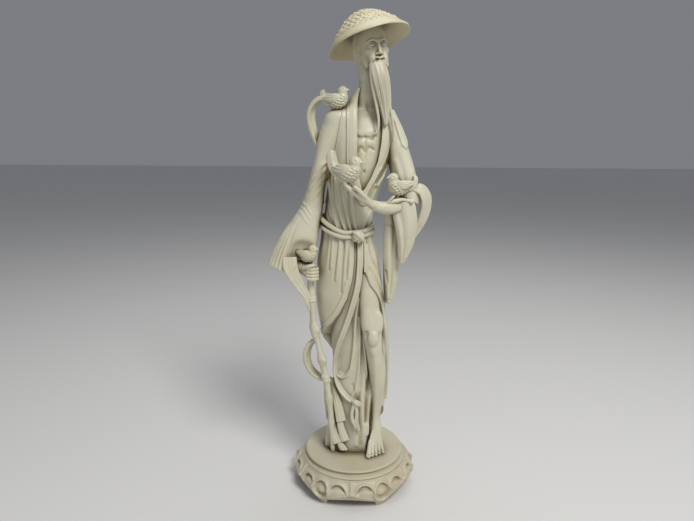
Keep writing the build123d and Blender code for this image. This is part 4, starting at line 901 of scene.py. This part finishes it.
def left_hand(P):
    d = chain(P, curve([(41, -10, 263, 6.4), (33, -17, 261, 6.2), (23.5, -22.5, 260.6, 5.3),
        (15, -25.6, 262.5, 4.2)]))
    flat = Limb([(15, -25.6, 262.5, 4.2, 3.6), (9.5, -26.4, 265.5, 5.4, 3.2), (3, -27.4, 270, 6.8, 2.9),
        (-2.5, -28, 274.5, 7.2, 2.5)], (0, 1, 0))
    d = smin(d, flat.field(P, 1.5)[0], 2.2)
    rod(d, P, [(13, -30.5, 263.5, 2), (6, -33, 268, 2.3), (0, -33.5, 272.5, 1.8)], 2.2)
    rod(d, P, [(11, -20.5, 264, 1.8), (4, -21.5, 269, 2), (-1, -22, 273, 1.6)], 2.2)
    reach = (12.5, 14.8, 14.2, 11)
    for i in range(4):
        root = np.array([-1.6, -33.4 + 3.6 * i, 273.8])
        way = HAND_RUN + np.array([0, -0.10 + 0.07 * i, 0])
        mid = root + way * reach[i] * 0.45 - PALM_UP * 0.5
        far = root + way * reach[i] * 0.78
        tip = root + way * reach[i] + PALM_UP * 1.6
        joints = zip((root - HAND_RUN * 2, mid, far, tip), (1.9, 1.75, 1.55, 1.15))
        rod(d, P, [tuple(at) + (size,) for at, size in joints], 0.6)
    thumb = [(10.5, -31.5, 266.5, 2.1), (5.5, -35.4, 271.5, 1.9), (1.2, -36.6, 276, 1.7),
        (-2, -36.8, 278.6, 1.3)]
    rod(d, P, thumb, 1.2)
    rod(d, P, [(8, -27, 269.3, 0.6), (1.5, -27.6, 274, 0.7)], 2, True)
    rod(d, P, [(27, -24.6, 265.5, 1.5), (33, -23, 266.6, 1.9), (38, -21.5, 267.4, 1.6),
        (43, -20.5, 266.6, 1.5), (46, -20, 266, 2.2)], 0.8)
    rod(d, P, [(25, -25, 264.5, 1.2), (28, -26.5, 268, 1.1), (30.5, -26.5, 270.5, 1)], 0.8)
    return d


def fall(limb, strokes):
    # Hanging fold with strokes down its length
    def field(P):
        u, v, a, b, along, s = limb.locate(P)
        r = Relief(u / a * 8, s)
        r.ridges(strokes)
        return smax(oval(u, v, a, b), along - END_OVER, 1.5) - r.h
    return field


OUTER_FALL = Limb([(39, -17.2, 266, 9, 4.2), (40.5, -16.6, 258, 10.2, 4.2), (42.8, -15.2, 244, 9.6, 4),
    (42.6, -14, 230, 7.4, 3.6), (40.8, -13.4, 219, 4.8, 3), (39.4, -13.2, 212, 2.4, 2.2)], (1, 0.1, 0))
INNER_FALL = Limb([(34, -6, 263, 8.8, 5), (33, -5.4, 244, 8.6, 4.8), (32, -5, 222, 8, 4.6),
    (31.2, -4.4, 200, 6.6, 4.4), (30.6, -4, 184, 5.2, 3.8), (30.2, -4, 173.5, 3.2, 2.8)], (1, 0.05, 0))
outer_fall = fall(OUTER_FALL, (
    ([(-6.5, 4), (-5.5, 30), (-2.5, 54)], 1.6, 0.5),
    ([(-3.6, 4), (-2.8, 30), (-1, 52)], 1.4, -0.6),
    ([(0.5, 2), (1.2, 26), (1, 50)], 2.4, 0.6),
    ([(4.2, 4), (4.4, 26), (3, 46)], 1.2, -0.5),
))
inner_fall = fall(INNER_FALL, (
    ([(-4.4, 6), (-4, 40), (-2.8, 84)], 2.2, 0.9),
    ([(-6.6, 17), (-2, 18)], 0.7, -0.6),
    ([(-6.6, 20), (-2, 21)], 0.9, 0.4),
    ([(-0.2, 6), (0, 45), (-0.2, 80)], 1.3, -0.8),
    ([(3.8, 8), (3.4, 50), (2.2, 84)], 2.2, 0.6),
    ([(-5.4, 60), (-4.4, 66), (-3.8, 70)], 1.2, -1.2),
))


# Scarf loops
def loop(rows, side):
    band = Limb(rows, side)

    def field(P):
        d, s, u = band.slab(P, 0.8)
        half = np.interp(s, band.s, band.ab[:, 0])
        return d - 0.45 * bell(np.abs(u) - half + 0.9, 0.6) + 0.35 * bell(u, 0.9)
    return field


scarf_shoulder_loop = loop([(-19, -3, 350.5, 2.6, 1.5), (-25, -3, 351.5, 3.2, 1.5),
    (-31.5, -2, 350, 3.8, 1.5), (-36.6, 0, 344.5, 4.2, 1.5), (-39.2, 1.5, 336.5, 4.4, 1.4),
    (-38.2, 2.5, 327, 4.2, 1.4), (-35, 3, 318, 3.8, 1.4), (-31.5, 3, 309, 3.2, 1.4)], (0.7, 0.75, 0.45))
scarf_elbow_loop = loop([(42, -13, 271, 3.8, 1.5), (48, -12, 275, 4.8, 1.5), (55, -9.5, 274.4, 5.8, 1.4),
    (59.8, -6.5, 267.4, 6.2, 1.4), (60, -4, 257.5, 6.2, 1.4), (56.6, -3, 246.5, 5.6, 1.4),
    (52, -3, 238, 4.6, 1.4), (47, -5, 231.5, 3.2, 1.4)], (0.8, 0.66, 0.3))
scarf_low_loop = loop([(-33, -4.5, 140, 3.4, 1.4), (-38.6, -3.6, 136.4, 4, 1.4), (-43, -3, 129, 4.4, 1.3),
    (-44, -3, 119.5, 4.4, 1.3), (-40.6, -3.4, 109.5, 4.2, 1.3), (-33, -4, 102.5, 4, 1.4),
    (-22, -5, 99, 3.4, 1.4)], (0.6, 0.9, 0))

# Staff
STAFF = [(-40.6, -13, 208), (-39.6, -12.2, 196), (-38.3, -11.3, 178), (-37.4, -10.8, 158),
    (-36, -10.6, 148), (-32.6, -10.6, 134), (-29.9, -10.8, 122), (-26, -11.2, 103), (-22.6, -11.8, 80),
    (-20.6, -12.4, 56), (-19.5, -13.4, 31.5)]


def staff(P):
    path = curve(STAFF, 5)
    z = path[:, 2]
    size = np.interp(z, [31, 62], [2, 2.9])
    for level, swell, width in ((204, 1.6, 5), (177, 1.4, 2.4), (152, 1.3, 4), (146, 0.9, 3),
            (121, 1.7, 3.2), (104, 1.2, 3.4), (84, 0.9, 3.5), (60, 0.8, 4)):
        size += swell * bell(z - level, width)
    size -= 0.5 * bell(z - 135, 7) + 0.3 * bell(z - 164, 7)
    d = chain(P, np.column_stack([path, size]).astype(np.float32))
    h = P[:, 2]
    for level in (178.6, 175.4, 121, 104):
        d = d + 0.5 * bell(h - level, 0.55)
    lump(d, P, (-27.4, -13.8, 121.6), (2, 1.8, 2.2), 1.4)
    lump(d, P, (-33.8, -13, 150), (2.2, 1.8, 3), 1.6)
    lump(d, P, (-28.6, -13.6, 106.5), (1.8, 1.6, 2.4), 1.4)
    d = d - 0.22 * wobble(P * vec([1, 1, 0.4]), 5, 3)
    return smax(d, FLOOR - h, 0.3)


# Birds: local x forward, z up
FEATHER_ROW = 1.9


def bird_field(place, turn, tail_back, tail_up, size=1, stout=1, lift=0):
    place = vec(place)
    tail_rows = [(-4, 0, 1.2, 3.6, 2.8), (-tail_back * 0.72, 0, 0.6 + 0.08 * tail_up, 3.6, 2.4),
        (-tail_back, 0, 1.6 + 0.36 * tail_up, 3.6, 2.2),
        (-tail_back * 1.02, 0, 1.2 + 0.72 * tail_up, 3.2, 1.9), (-tail_back * 0.92, 0, tail_up, 2.2, 1.2)]
    tail = Limb([(x, y, z, a, b * stout) for x, y, z, a, b in tail_rows], (0, 1, 0))
    wing = Limb([(4, 4.8, 2.6, 1.1, 2.6), (0.2, 5.7 + lift * 0.3, 2.8, 1.3, 3.6),
        (-5, 5.2 + lift * 0.7, 3.6 + lift * 0.5, 1.2, 3),
        (-10, 3.4 + lift, 4.8 + lift * 0.9, 0.9, 1.3)], (0, 1, 0))

    def field(P):
        Q = (P - place) @ turn / size
        d = chain(Q, curve([(-6, 0, 1.6, 3.6), (-3, 0, 0.5, 5.4), (1, 0, 0.1, 6.3),
            (4.6, 0, 2.2, 5), (6.2, 0, 5, 3.4)]))
        s = Q[:, 0]
        a = np.arctan2(Q[:, 1], Q[:, 2])
        rowf = (s + 0.2 * np.abs(Q[:, 1])) / FEATHER_ROW
        row = np.floor(rowf)
        grain = np.cos(a * 12 + row * math.pi) * np.cos((rowf - row - 0.5) * 2.6)
        d = d - 0.5 * grain * rise(5.4 - Q[:, 2] * 0.6 - s * 0.4, 0, 2)
        d = smin(d, blob(Q, (6.4, 0, 7), (4.4, 4.2, 4.2)), 0.8)
        rod(d, Q, [(9.4, 0, 7.2, 1.4), (10.8, 0, 6.8, 1), (12, 0, 6.3, 0.4)], 0.5)
        for side in (3.5, -3.5):
            lump(d, Q, (8.4, side, 7.8), (0.8, 0.6, 0.8), 0.3, True)
        for side in (-1, 1):
            u, v, wa, wb, along, t = wing.locate(Q * vec([1, side, 1]))
            w = smax(oval(u, v, wa, wb), along - END_OVER, 0.8)
            d = smin(d, w - 0.2 * np.cos(v * 3 + t * 0.25) * rise(t, 4, 8), 0.5)
        w, _, u = tail.slab(Q, 1)
        return smin(d, w - 0.12 * np.cos(u * 2.6), 0.8) * size
    return field


shoulder_bird = bird_field((-16.4, -6, 346.9), turned(0, -14, -22), 10.5, 12.5, 1, 1.1, 0.4)
palm_bird = bird_field((-7.3, -31.5, 288.8), turned(0, -6, -30), 11.5, 16.5, 1.18, 1.25)
elbow_bird = bird_field((35, -19, 276.8), turned(0, -10, 202), 12.5, 12, 1.03, 1, 1.8)
sleeve_bird = bird_field((-41.6, -15, 218), turned(0, -4, -25), 9.5, 4, 0.88, 0.9, 0.4)


# Base
STAND_SIZE = 53
HOLLOW_SIZE = 44.5
HOLLOW_TOP = 15.5
FOOT_TURN = math.radians(27)
LOBES = 6
LOBE = 2 * math.pi / LOBES


def stand_base(P):
    x, y, z = P.T
    r = np.hypot(x, y)
    a = np.arctan2(x, -y)
    lobe = (1 - np.cos(LOBES * (a - FOOT_TURN))) / 2
    out = np.interp(z, *curve([(-1, 51), (0, 51.4), (2.5, 52.2), (5.4, 53.6), (13.2, 55.8), (18, 53.9),
        (20.5, 52), (23, 50), (24.5, 49), (26, 48)], 4).T)
    sag = np.interp(z, [0, 13, 20, 24.5], [1.6, 1.5, 0.7, 0])
    # Ways round the rim from the middle of an arch and from a foot
    u = ((a - FOOT_TURN) % LOBE - LOBE / 2) * STAND_SIZE
    w = ((a - FOOT_TURN + LOBE / 2) % LOBE - LOBE / 2) * STAND_SIZE
    k = Relief(u, z)
    k.ridges((
        ([(0, 23), (0, 19), (0, 16)], 1.5, 1.9),
        ([(-5.5, 13.4), (-2.5, 14.4), (0, 15.4), (2.5, 14.4), (5.5, 13.4)], 1.3, 1.6),
        ([(-19, 8.2), (-11, 11.2), (0, 12), (11, 11.2), (19, 8.2)], 1.1, 0.7),
    ))
    for side in (-1, 1):
        rho = np.hypot((u - side * 12) * 0.84, z - 15)
        low = np.hypot((u - side * 12.4) * 0.72, z - 11.4)
        k.h -= 2.4 * rise(6 - rho, -0.3, 1.2) * rise(low - 6, -0.3, 1)
        k.h += 1.6 * bell(rho - 7, 0.9) * rise(z, 14, 17)
    rho = np.hypot(w, z - 14.4)
    k.h += 1.9 * bell(rho - 7.9, 1.15)
    k.h -= 2.4 * rise(7 - rho, 0, 1.6)
    k.h += 1.3 * bell(np.hypot(w, z - 13.2), 3.2)
    k.h -= 0.7 * bell(z - 23.4, 0.5)
    d = (r - out + sag * lobe - k.h) * 0.92
    d = smax(d, z - STAND_TOP, 0.4)
    arch = smax((np.abs(u) - 23) * 0.8, z - 8.6 + 0.007 * u * u, 1.5)
    d = smax(d, -np.maximum(arch, 38 - r), 0.8)
    d = smax(d, -np.maximum(r - HOLLOW_SIZE, z - HOLLOW_TOP), 0.5)
    return smax(d, -z, 0.3)


DRUM_TALL = 7
SPIGOT_SIZE = 20
SPIGOT_LONG = 4


def plinth_drum(P):
    z = P[:, 2] - STAND_TOP
    r = np.hypot(P[:, 0], P[:, 1])
    side = np.interp(z, *curve([(-1, 48.2), (0, 48), (0.8, 47.8), (1.5, 47), (2.4, 45), (3.4, 44.2),
        (4.3, 44.4), (5, 45.2), (5.6, 45.6), (6.2, 45.4), (6.8, 44.6), (7, 43.6)], 4).T)
    d = smax((r - side) * 0.9, z - DRUM_TALL, 0.3)
    stub = np.maximum(r - SPIGOT_SIZE, -SPIGOT_LONG - z)
    return np.minimum(smax(d, -z, 0.2), np.maximum(stub, z - 1))


# Meshes
SPECK_FACES = 200
BLOCK = 8
BLOCKS_AT_ONCE = 240
EDGE_VOXELS = 4
# A block is sampled when its middle is this near to the skin
LIVE_SHARE = 1.25
LIVE_SLACK = 1.2
# What the grid says away from the skin
OUTSIDE = 9.0


def without_specks(points, quads):
    # Keeps the skin and drops the loose specks beside or inside it
    label = np.arange(len(points))
    while True:
        least = np.repeat(label[quads].min(1), 4)
        joined = label.copy()
        np.minimum.at(joined, quads.ravel(), least)
        joined = joined[joined]
        if np.array_equal(joined, label):
            break
        label = joined
    shell = label[quads[:, 0]]
    quads = quads[np.bincount(shell)[shell] > SPECK_FACES]
    used, quads = np.unique(quads, return_inverse=True)
    return points[used], quads.reshape(-1, 4)


def mesh_of(field, low, high, voxel):
    # Samples a field where its skin runs, and turns it into faces
    edge = EDGE_VOXELS * voxel
    low = np.asarray(low, np.float32) - edge
    count = np.ceil((np.asarray(high, np.float32) + edge - low) / (voxel * BLOCK)).astype(int)
    grid = np.indices(count).reshape(3, -1).T
    centres = (low + (grid + 0.5) * BLOCK * voxel).astype(np.float32)
    mid = field(centres)
    live = np.abs(mid) < BLOCK * voxel * LIVE_SHARE + LIVE_SLACK
    dense = np.where(mid.reshape(count) < 0, -OUTSIDE, OUTSIDE).astype(np.float32)
    for axis in range(3):
        dense = np.repeat(dense, BLOCK, axis)
    inner = np.indices((BLOCK,) * 3).reshape(3, -1).T
    picked = grid[live]
    for start in range(0, len(picked), BLOCKS_AT_ONCE):
        part = picked[start:start + BLOCKS_AT_ONCE]
        cells = (part[:, None, :] * BLOCK + inner[None]).reshape(-1, 3)
        dense[tuple(cells.T)] = field((low + cells * voxel).astype(np.float32))
    vdb = openvdb.FloatGrid(OUTSIDE)
    vdb.copyFromArray(dense)
    points, _, quads = vdb.convertToPolygons(isovalue=0.0, adaptivity=0.0)
    points, quads = without_specks(points.astype(np.float32), quads.astype(np.int64))
    return low, dense, points, quads


def sample(dense, at):
    # Trilinear reading of a stored field
    at = np.clip(at, 0, np.array(dense.shape) - 1.001)
    i = at.astype(int)
    f = (at - i).astype(np.float32)
    total = np.zeros(len(at), np.float32)
    for corner in np.ndindex(2, 2, 2):
        weight = np.abs(1 - vec(corner) - f).prod(1)
        total += weight * dense[tuple((i + corner).T)]
    return total


# Pieces: CAD node, field, grain in millimetres
PIECES = [
    ("stand_base", stand_base, 0.62),
    ("plinth_drum", plinth_drum, 0.62),
    ("lower_robe", lower_robe, 0.7),
    ("left_leg", left_leg, 0.6),
    ("left_foot", left_foot, 0.4),
    ("belt", belt, 0.5),
    ("belt_knot", belt_knot, 0.35),
    ("long_cord", long_cord, 0.42),
    ("short_cord", short_cord, 0.42),
    ("cord_bow", cord_bow, 0.35),
    ("scarf_ends", scarf_ends, 0.45),
    ("body", body, 0.55),
    ("upper_robe", upper_robe, 0.6),
    ("head", head, 0.34),
    ("beard", beard, 0.34),
    ("hat", hat, 0.46),
    ("right_sleeve", right_sleeve, 0.58),
    ("cuff_fall", cuff_fall, 0.45),
    ("right_hand", right_hand, 0.35),
    ("left_sleeve", left_sleeve, 0.58),
    ("left_hand", left_hand, 0.4),
    ("left_sleeve_outer_fall", outer_fall, 0.5),
    ("left_sleeve_inner_fall", inner_fall, 0.5),
    ("scarf_shoulder_loop", scarf_shoulder_loop, 0.45),
    ("scarf_elbow_loop", scarf_elbow_loop, 0.45),
    ("scarf_low_loop", scarf_low_loop, 0.45),
    ("staff", staff, 0.42),
    ("shoulder_bird", shoulder_bird, 0.3),
    ("palm_bird", palm_bird, 0.3),
    ("elbow_bird", elbow_bird, 0.3),
    ("sleeve_bird", sleeve_bird, 0.3),
]


# Room round the CAD box for what the carving adds
MARGIN = 5
COLLAR_MARGIN = 8
THREADS = 4


def carve(row):
    node, field, voxel = row
    low, high = box_mm(node)
    margin = COLLAR_MARGIN if node == "upper_robe" else MARGIN
    return mesh_of(field, low - margin, high + margin, voxel * STEP)


with ThreadPoolExecutor(THREADS) as pool:
    carved = list(pool.map(carve, PIECES))

# Filled space on a one-millimetre grid, for the wash in hollows and the shade painted into recesses and
# between pieces
SPACE_EDGE = 14
SPACE_LOW = np.array(cad_low) / MM - AXIS - SPACE_EDGE
SPACE_SIZE = np.ceil(np.array(cad_high) / MM - AXIS + SPACE_EDGE - SPACE_LOW).astype(int)
space = np.zeros(SPACE_SIZE, np.float32)
for (_, _, voxel), (low, dense, _, _) in zip(PIECES, carved):
    step = voxel * STEP
    first = np.maximum(np.ceil(low - SPACE_LOW).astype(int), 0)
    top = np.array(dense.shape) - 1
    last = np.minimum(np.floor(low + top * step - SPACE_LOW).astype(int), SPACE_SIZE - 1)
    pick = []
    for i in range(3):
        at = (np.arange(first[i], last[i] + 1) + SPACE_LOW[i] - low[i]) / step
        pick.append(np.round(at).astype(int).clip(0, top[i]))
    part = dense[np.ix_(*pick)] < 0
    view = space[first[0]:last[0] + 1, first[1]:last[1] + 1, first[2]:last[2] + 1]
    np.maximum(view, part, out=view)


def spread(filled, half):
    # Mean over a cube of the given half size
    for axis in range(3):
        pad = [(0, 0)] * 3
        pad[axis] = (half + 1, half)
        run = np.cumsum(np.pad(filled, pad), axis, dtype=np.float64)
        high = np.take(run, np.arange(2 * half + 1, run.shape[axis]), axis)
        low = np.take(run, np.arange(0, run.shape[axis] - 2 * half - 1), axis)
        filled = ((high - low) / (2 * half + 1)).astype(np.float32)
    return filled


wide_fill = spread(spread(space, 3), 3)
broad_fill = spread(spread(space, 7), 6)


# Materials
def put(node, values):
    for name, value in values.items():
        node.inputs[name].default_value = value
    return node


def noise(tree, scale, detail, rough):
    node = tree.nodes.new("ShaderNodeTexNoise")
    return put(node, {"Scale": scale, "Detail": detail, "Roughness": rough})


def mixed(tree, factor, a, b):
    node = tree.nodes.new("ShaderNodeMix")
    node.data_type = "RGBA"
    for socket, value in ((node.inputs[0], factor), (node.inputs[6], a), (node.inputs[7], b)):
        if isinstance(value, (tuple, float)):
            socket.default_value = value
        else:
            tree.links.new(value, socket)
    return node.outputs[2]


def ramp(tree, source, low, high):
    node = tree.nodes.new("ShaderNodeMapRange")
    node.interpolation_type = "SMOOTHSTEP"
    put(node, {"From Min": low, "From Max": high})
    tree.links.new(source, node.inputs["Value"])
    return node.outputs["Result"]


def resin(name, light, warm, deep, roughness):
    material = bpy.data.materials.new(name)
    material.use_nodes = True
    tree = material.node_tree
    link = tree.links.new
    shader = tree.nodes["Principled BSDF"]
    place = tree.nodes.new("ShaderNodeTexCoord")
    wash_and_painted_shade = tree.nodes.new("ShaderNodeAttribute")
    wash_and_painted_shade.attribute_name = "wash_and_painted_shade"
    slow = noise(tree, 28, 3, 0.55)
    fine = noise(tree, 900, 2, 0.5)
    link(place.outputs["Object"], slow.inputs["Vector"])
    link(place.outputs["Object"], fine.inputs["Vector"])
    tint = mixed(tree, ramp(tree, slow.outputs["Fac"], 0.35, 0.7), light, warm)
    # Browner colour where the wash lies and where shade is painted in
    colour = mixed(tree, wash_and_painted_shade.outputs["Fac"], tint, deep)
    link(colour, shader.inputs["Base Color"])
    put(shader, {"Roughness": roughness, "IOR": 1.46, "Subsurface Weight": 0.12})
    put(shader, {"Subsurface Radius": (1.0, 0.7, 0.4), "Subsurface Scale": 0.0015})
    bump = put(tree.nodes.new("ShaderNodeBump"), {"Strength": 0.06, "Distance": 0.0004})
    link(fine.outputs["Fac"], bump.inputs["Height"])
    link(bump.outputs["Normal"], shader.inputs["Normal"])
    return material


def plain(name, colour, metallic, roughness):
    material = bpy.data.materials.new(name)
    material.use_nodes = True
    shader = material.node_tree.nodes["Principled BSDF"]
    put(shader, {"Base Color": colour, "Metallic": metallic, "Roughness": roughness})
    return material


# The third colour of each resin is the brown of the wash and of the painted shade
LOOKS = {
    "ivory_resin": resin("ivory resin", (0.68, 0.66, 0.52, 1), (0.62, 0.58, 0.42, 1),
        (0.22, 0.175, 0.09, 1), 0.34),
    "base_resin": resin("base resin", (0.62, 0.57, 0.43, 1), (0.57, 0.50, 0.36, 1),
        (0.25, 0.20, 0.12, 1), 0.42),
    "straw_resin": resin("straw resin", (0.64, 0.59, 0.42, 1), (0.57, 0.50, 0.31, 1),
        (0.24, 0.19, 0.09, 1), 0.42),
    "steel": plain("zinc steel", (0.62, 0.62, 0.63, 1), 1.0, 0.35),
    "brass": plain("brass", (0.78, 0.62, 0.32, 1), 1.0, 0.3),
    "dowel_wood": plain("beech", (0.66, 0.50, 0.33, 1), 0.0, 0.6),
}

# Pieces painted darker and browner all over
DARKER_PIECES = {"beard": 0.55, "cuff_fall": 0.1, "scarf_ends": 0.08}
# Reach in millimetres at which the skin's own hollows are felt
CAVITY_REACH = 1.3
slots = {row["node"]: row["material_slot"] for row in frame["record"]["subparts"]}

for (node, _, voxel), (low, dense, points, quads) in zip(PIECES, carved):
    step = voxel * STEP
    slot = slots[node]
    grad = np.stack([sample(dense, points + way) - sample(dense, points - way) for way in np.eye(3)], 1)
    grad /= np.maximum(np.linalg.norm(grad, axis=1), TINY)[:, None]
    spots = points * step + low
    # Wash in the skin's own grooves, plus painted shade in hollows, between pieces and under overhangs
    cavity = 1 - sample(dense, points + grad * (CAVITY_REACH / step)) / CAVITY_REACH
    # hollow and deep read the filled space of all pieces, so they paint shade where pieces crowd each other
    hollow = sample(wide_fill, spots + grad * 1.6 - SPACE_LOW) - 0.22
    deep = sample(broad_fill, spots + grad * 4 - SPACE_LOW) - 0.24
    # Surfaces that face down are painted darker: painted shade under overhangs
    under = np.maximum(-grad[:, 2] - 0.1, 0)
    wash_and_shade_share = rise(cavity * 0.32 + hollow * 1.6 + deep * 1.9 + 0.75 * under + DARKER_PIECES.get(node, 0), 0.02, 1.2)
    mesh = bpy.data.meshes.new(node + "_carving")
    mesh.vertices.add(len(spots))
    mesh.vertices.foreach_set("co", ((spots + AXIS) * MM).astype(np.float32).ravel())
    mesh.loops.add(quads.size)
    mesh.loops.foreach_set("vertex_index", quads.astype(np.int32).ravel())
    mesh.polygons.add(len(quads))
    mesh.polygons.foreach_set("loop_start", np.arange(0, quads.size, 4, dtype=np.int32))
    mesh.polygons.foreach_set("loop_total", np.full(len(quads), 4, np.int32))
    mesh.update(calc_edges=True)
    mesh.polygons.foreach_set("use_smooth", np.ones(len(quads), bool))
    # Stored per point as one share that holds both the wash and the painted shade
    mesh.attributes.new("wash_and_painted_shade", "FLOAT", "POINT").data.foreach_set("value", wash_and_shade_share.astype(np.float32))
    mesh.materials.append(LOOKS[slot])
    piece = bpy.data.objects.new(node + "_carving", mesh)
    bpy.context.collection.objects.link(piece)
    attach(piece, "root")
    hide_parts(node)

# Pegs and fixings keep their CAD shape
for node, item in frame["nodes"].items():
    if not item.hide_render:
        item.data.materials.clear()
        item.data.materials.append(LOOKS[slots[node]])

# Floor
bpy.ops.mesh.primitive_plane_add(size=30)
floor = bpy.context.object
floor.name = "floor"
floor.data.materials.append(plain("pale floor", (0.78, 0.77, 0.75, 1), 0.0, 0.9))

# Camera: fitted place, tilt and roll
PITCH = 0.1975
ROLL = 0.0066
SENSOR = 36
FOCAL_PIXELS = 521
PHOTO_WIDTH = 694
EYE = Vector((-0.00761, -0.45675, 0.3026)) + Vector(AXIS * MM)
forward = Vector((0, math.cos(PITCH), -math.sin(PITCH)))
upward = Vector((0, math.sin(PITCH), math.cos(PITCH)))
right = Vector((1, 0, 0)) * math.cos(ROLL) + upward * math.sin(ROLL)
up = upward * math.cos(ROLL) - Vector((1, 0, 0)) * math.sin(ROLL)
camera = bpy.data.objects.new("camera", bpy.data.cameras.new("camera"))
camera.data.sensor_width = SENSOR
camera.data.lens = SENSOR * FOCAL_PIXELS / PHOTO_WIDTH
camera.data.clip_start = 0.01
turn = Matrix((right, up, -forward)).transposed()
camera.matrix_world = Matrix.Translation(EYE) @ turn.to_4x4()
bpy.context.collection.objects.link(camera)
bpy.context.scene.camera = camera


# Light
def lamp(name, place, aim, size, power, tint):
    data = bpy.data.lights.new(name, "AREA")
    data.size = size
    data.energy = power
    data.color = tint
    item = bpy.data.objects.new(name, data)
    item.location = place
    item.rotation_euler = (Vector(aim) - Vector(place)).to_track_quat("-Z", "Y").to_euler()
    bpy.context.collection.objects.link(item)


lamp("key", (0.48, -0.8, 1.26), (0, 0, 0.22), size=0.5, power=14.0, tint=(1.0, 0.99, 0.96))
lamp("fill", (-0.9, -0.8, 0.6), (0, 0, 0.22), size=0.9, power=0.7, tint=(0.95, 0.97, 1.0))
lamp("top", (0.1, 0.3, 1.3), (0, 0, 0.25), size=0.8, power=3.0, tint=(1.0, 1.0, 1.0))
world = bpy.data.worlds.new("studio")
bpy.context.scene.world = world
world.use_nodes = True
put(world.node_tree.nodes["Background"], {"Color": (0.80, 0.83, 0.90, 1), "Strength": 0.25})
bpy.context.scene.view_settings.view_transform = "Standard"
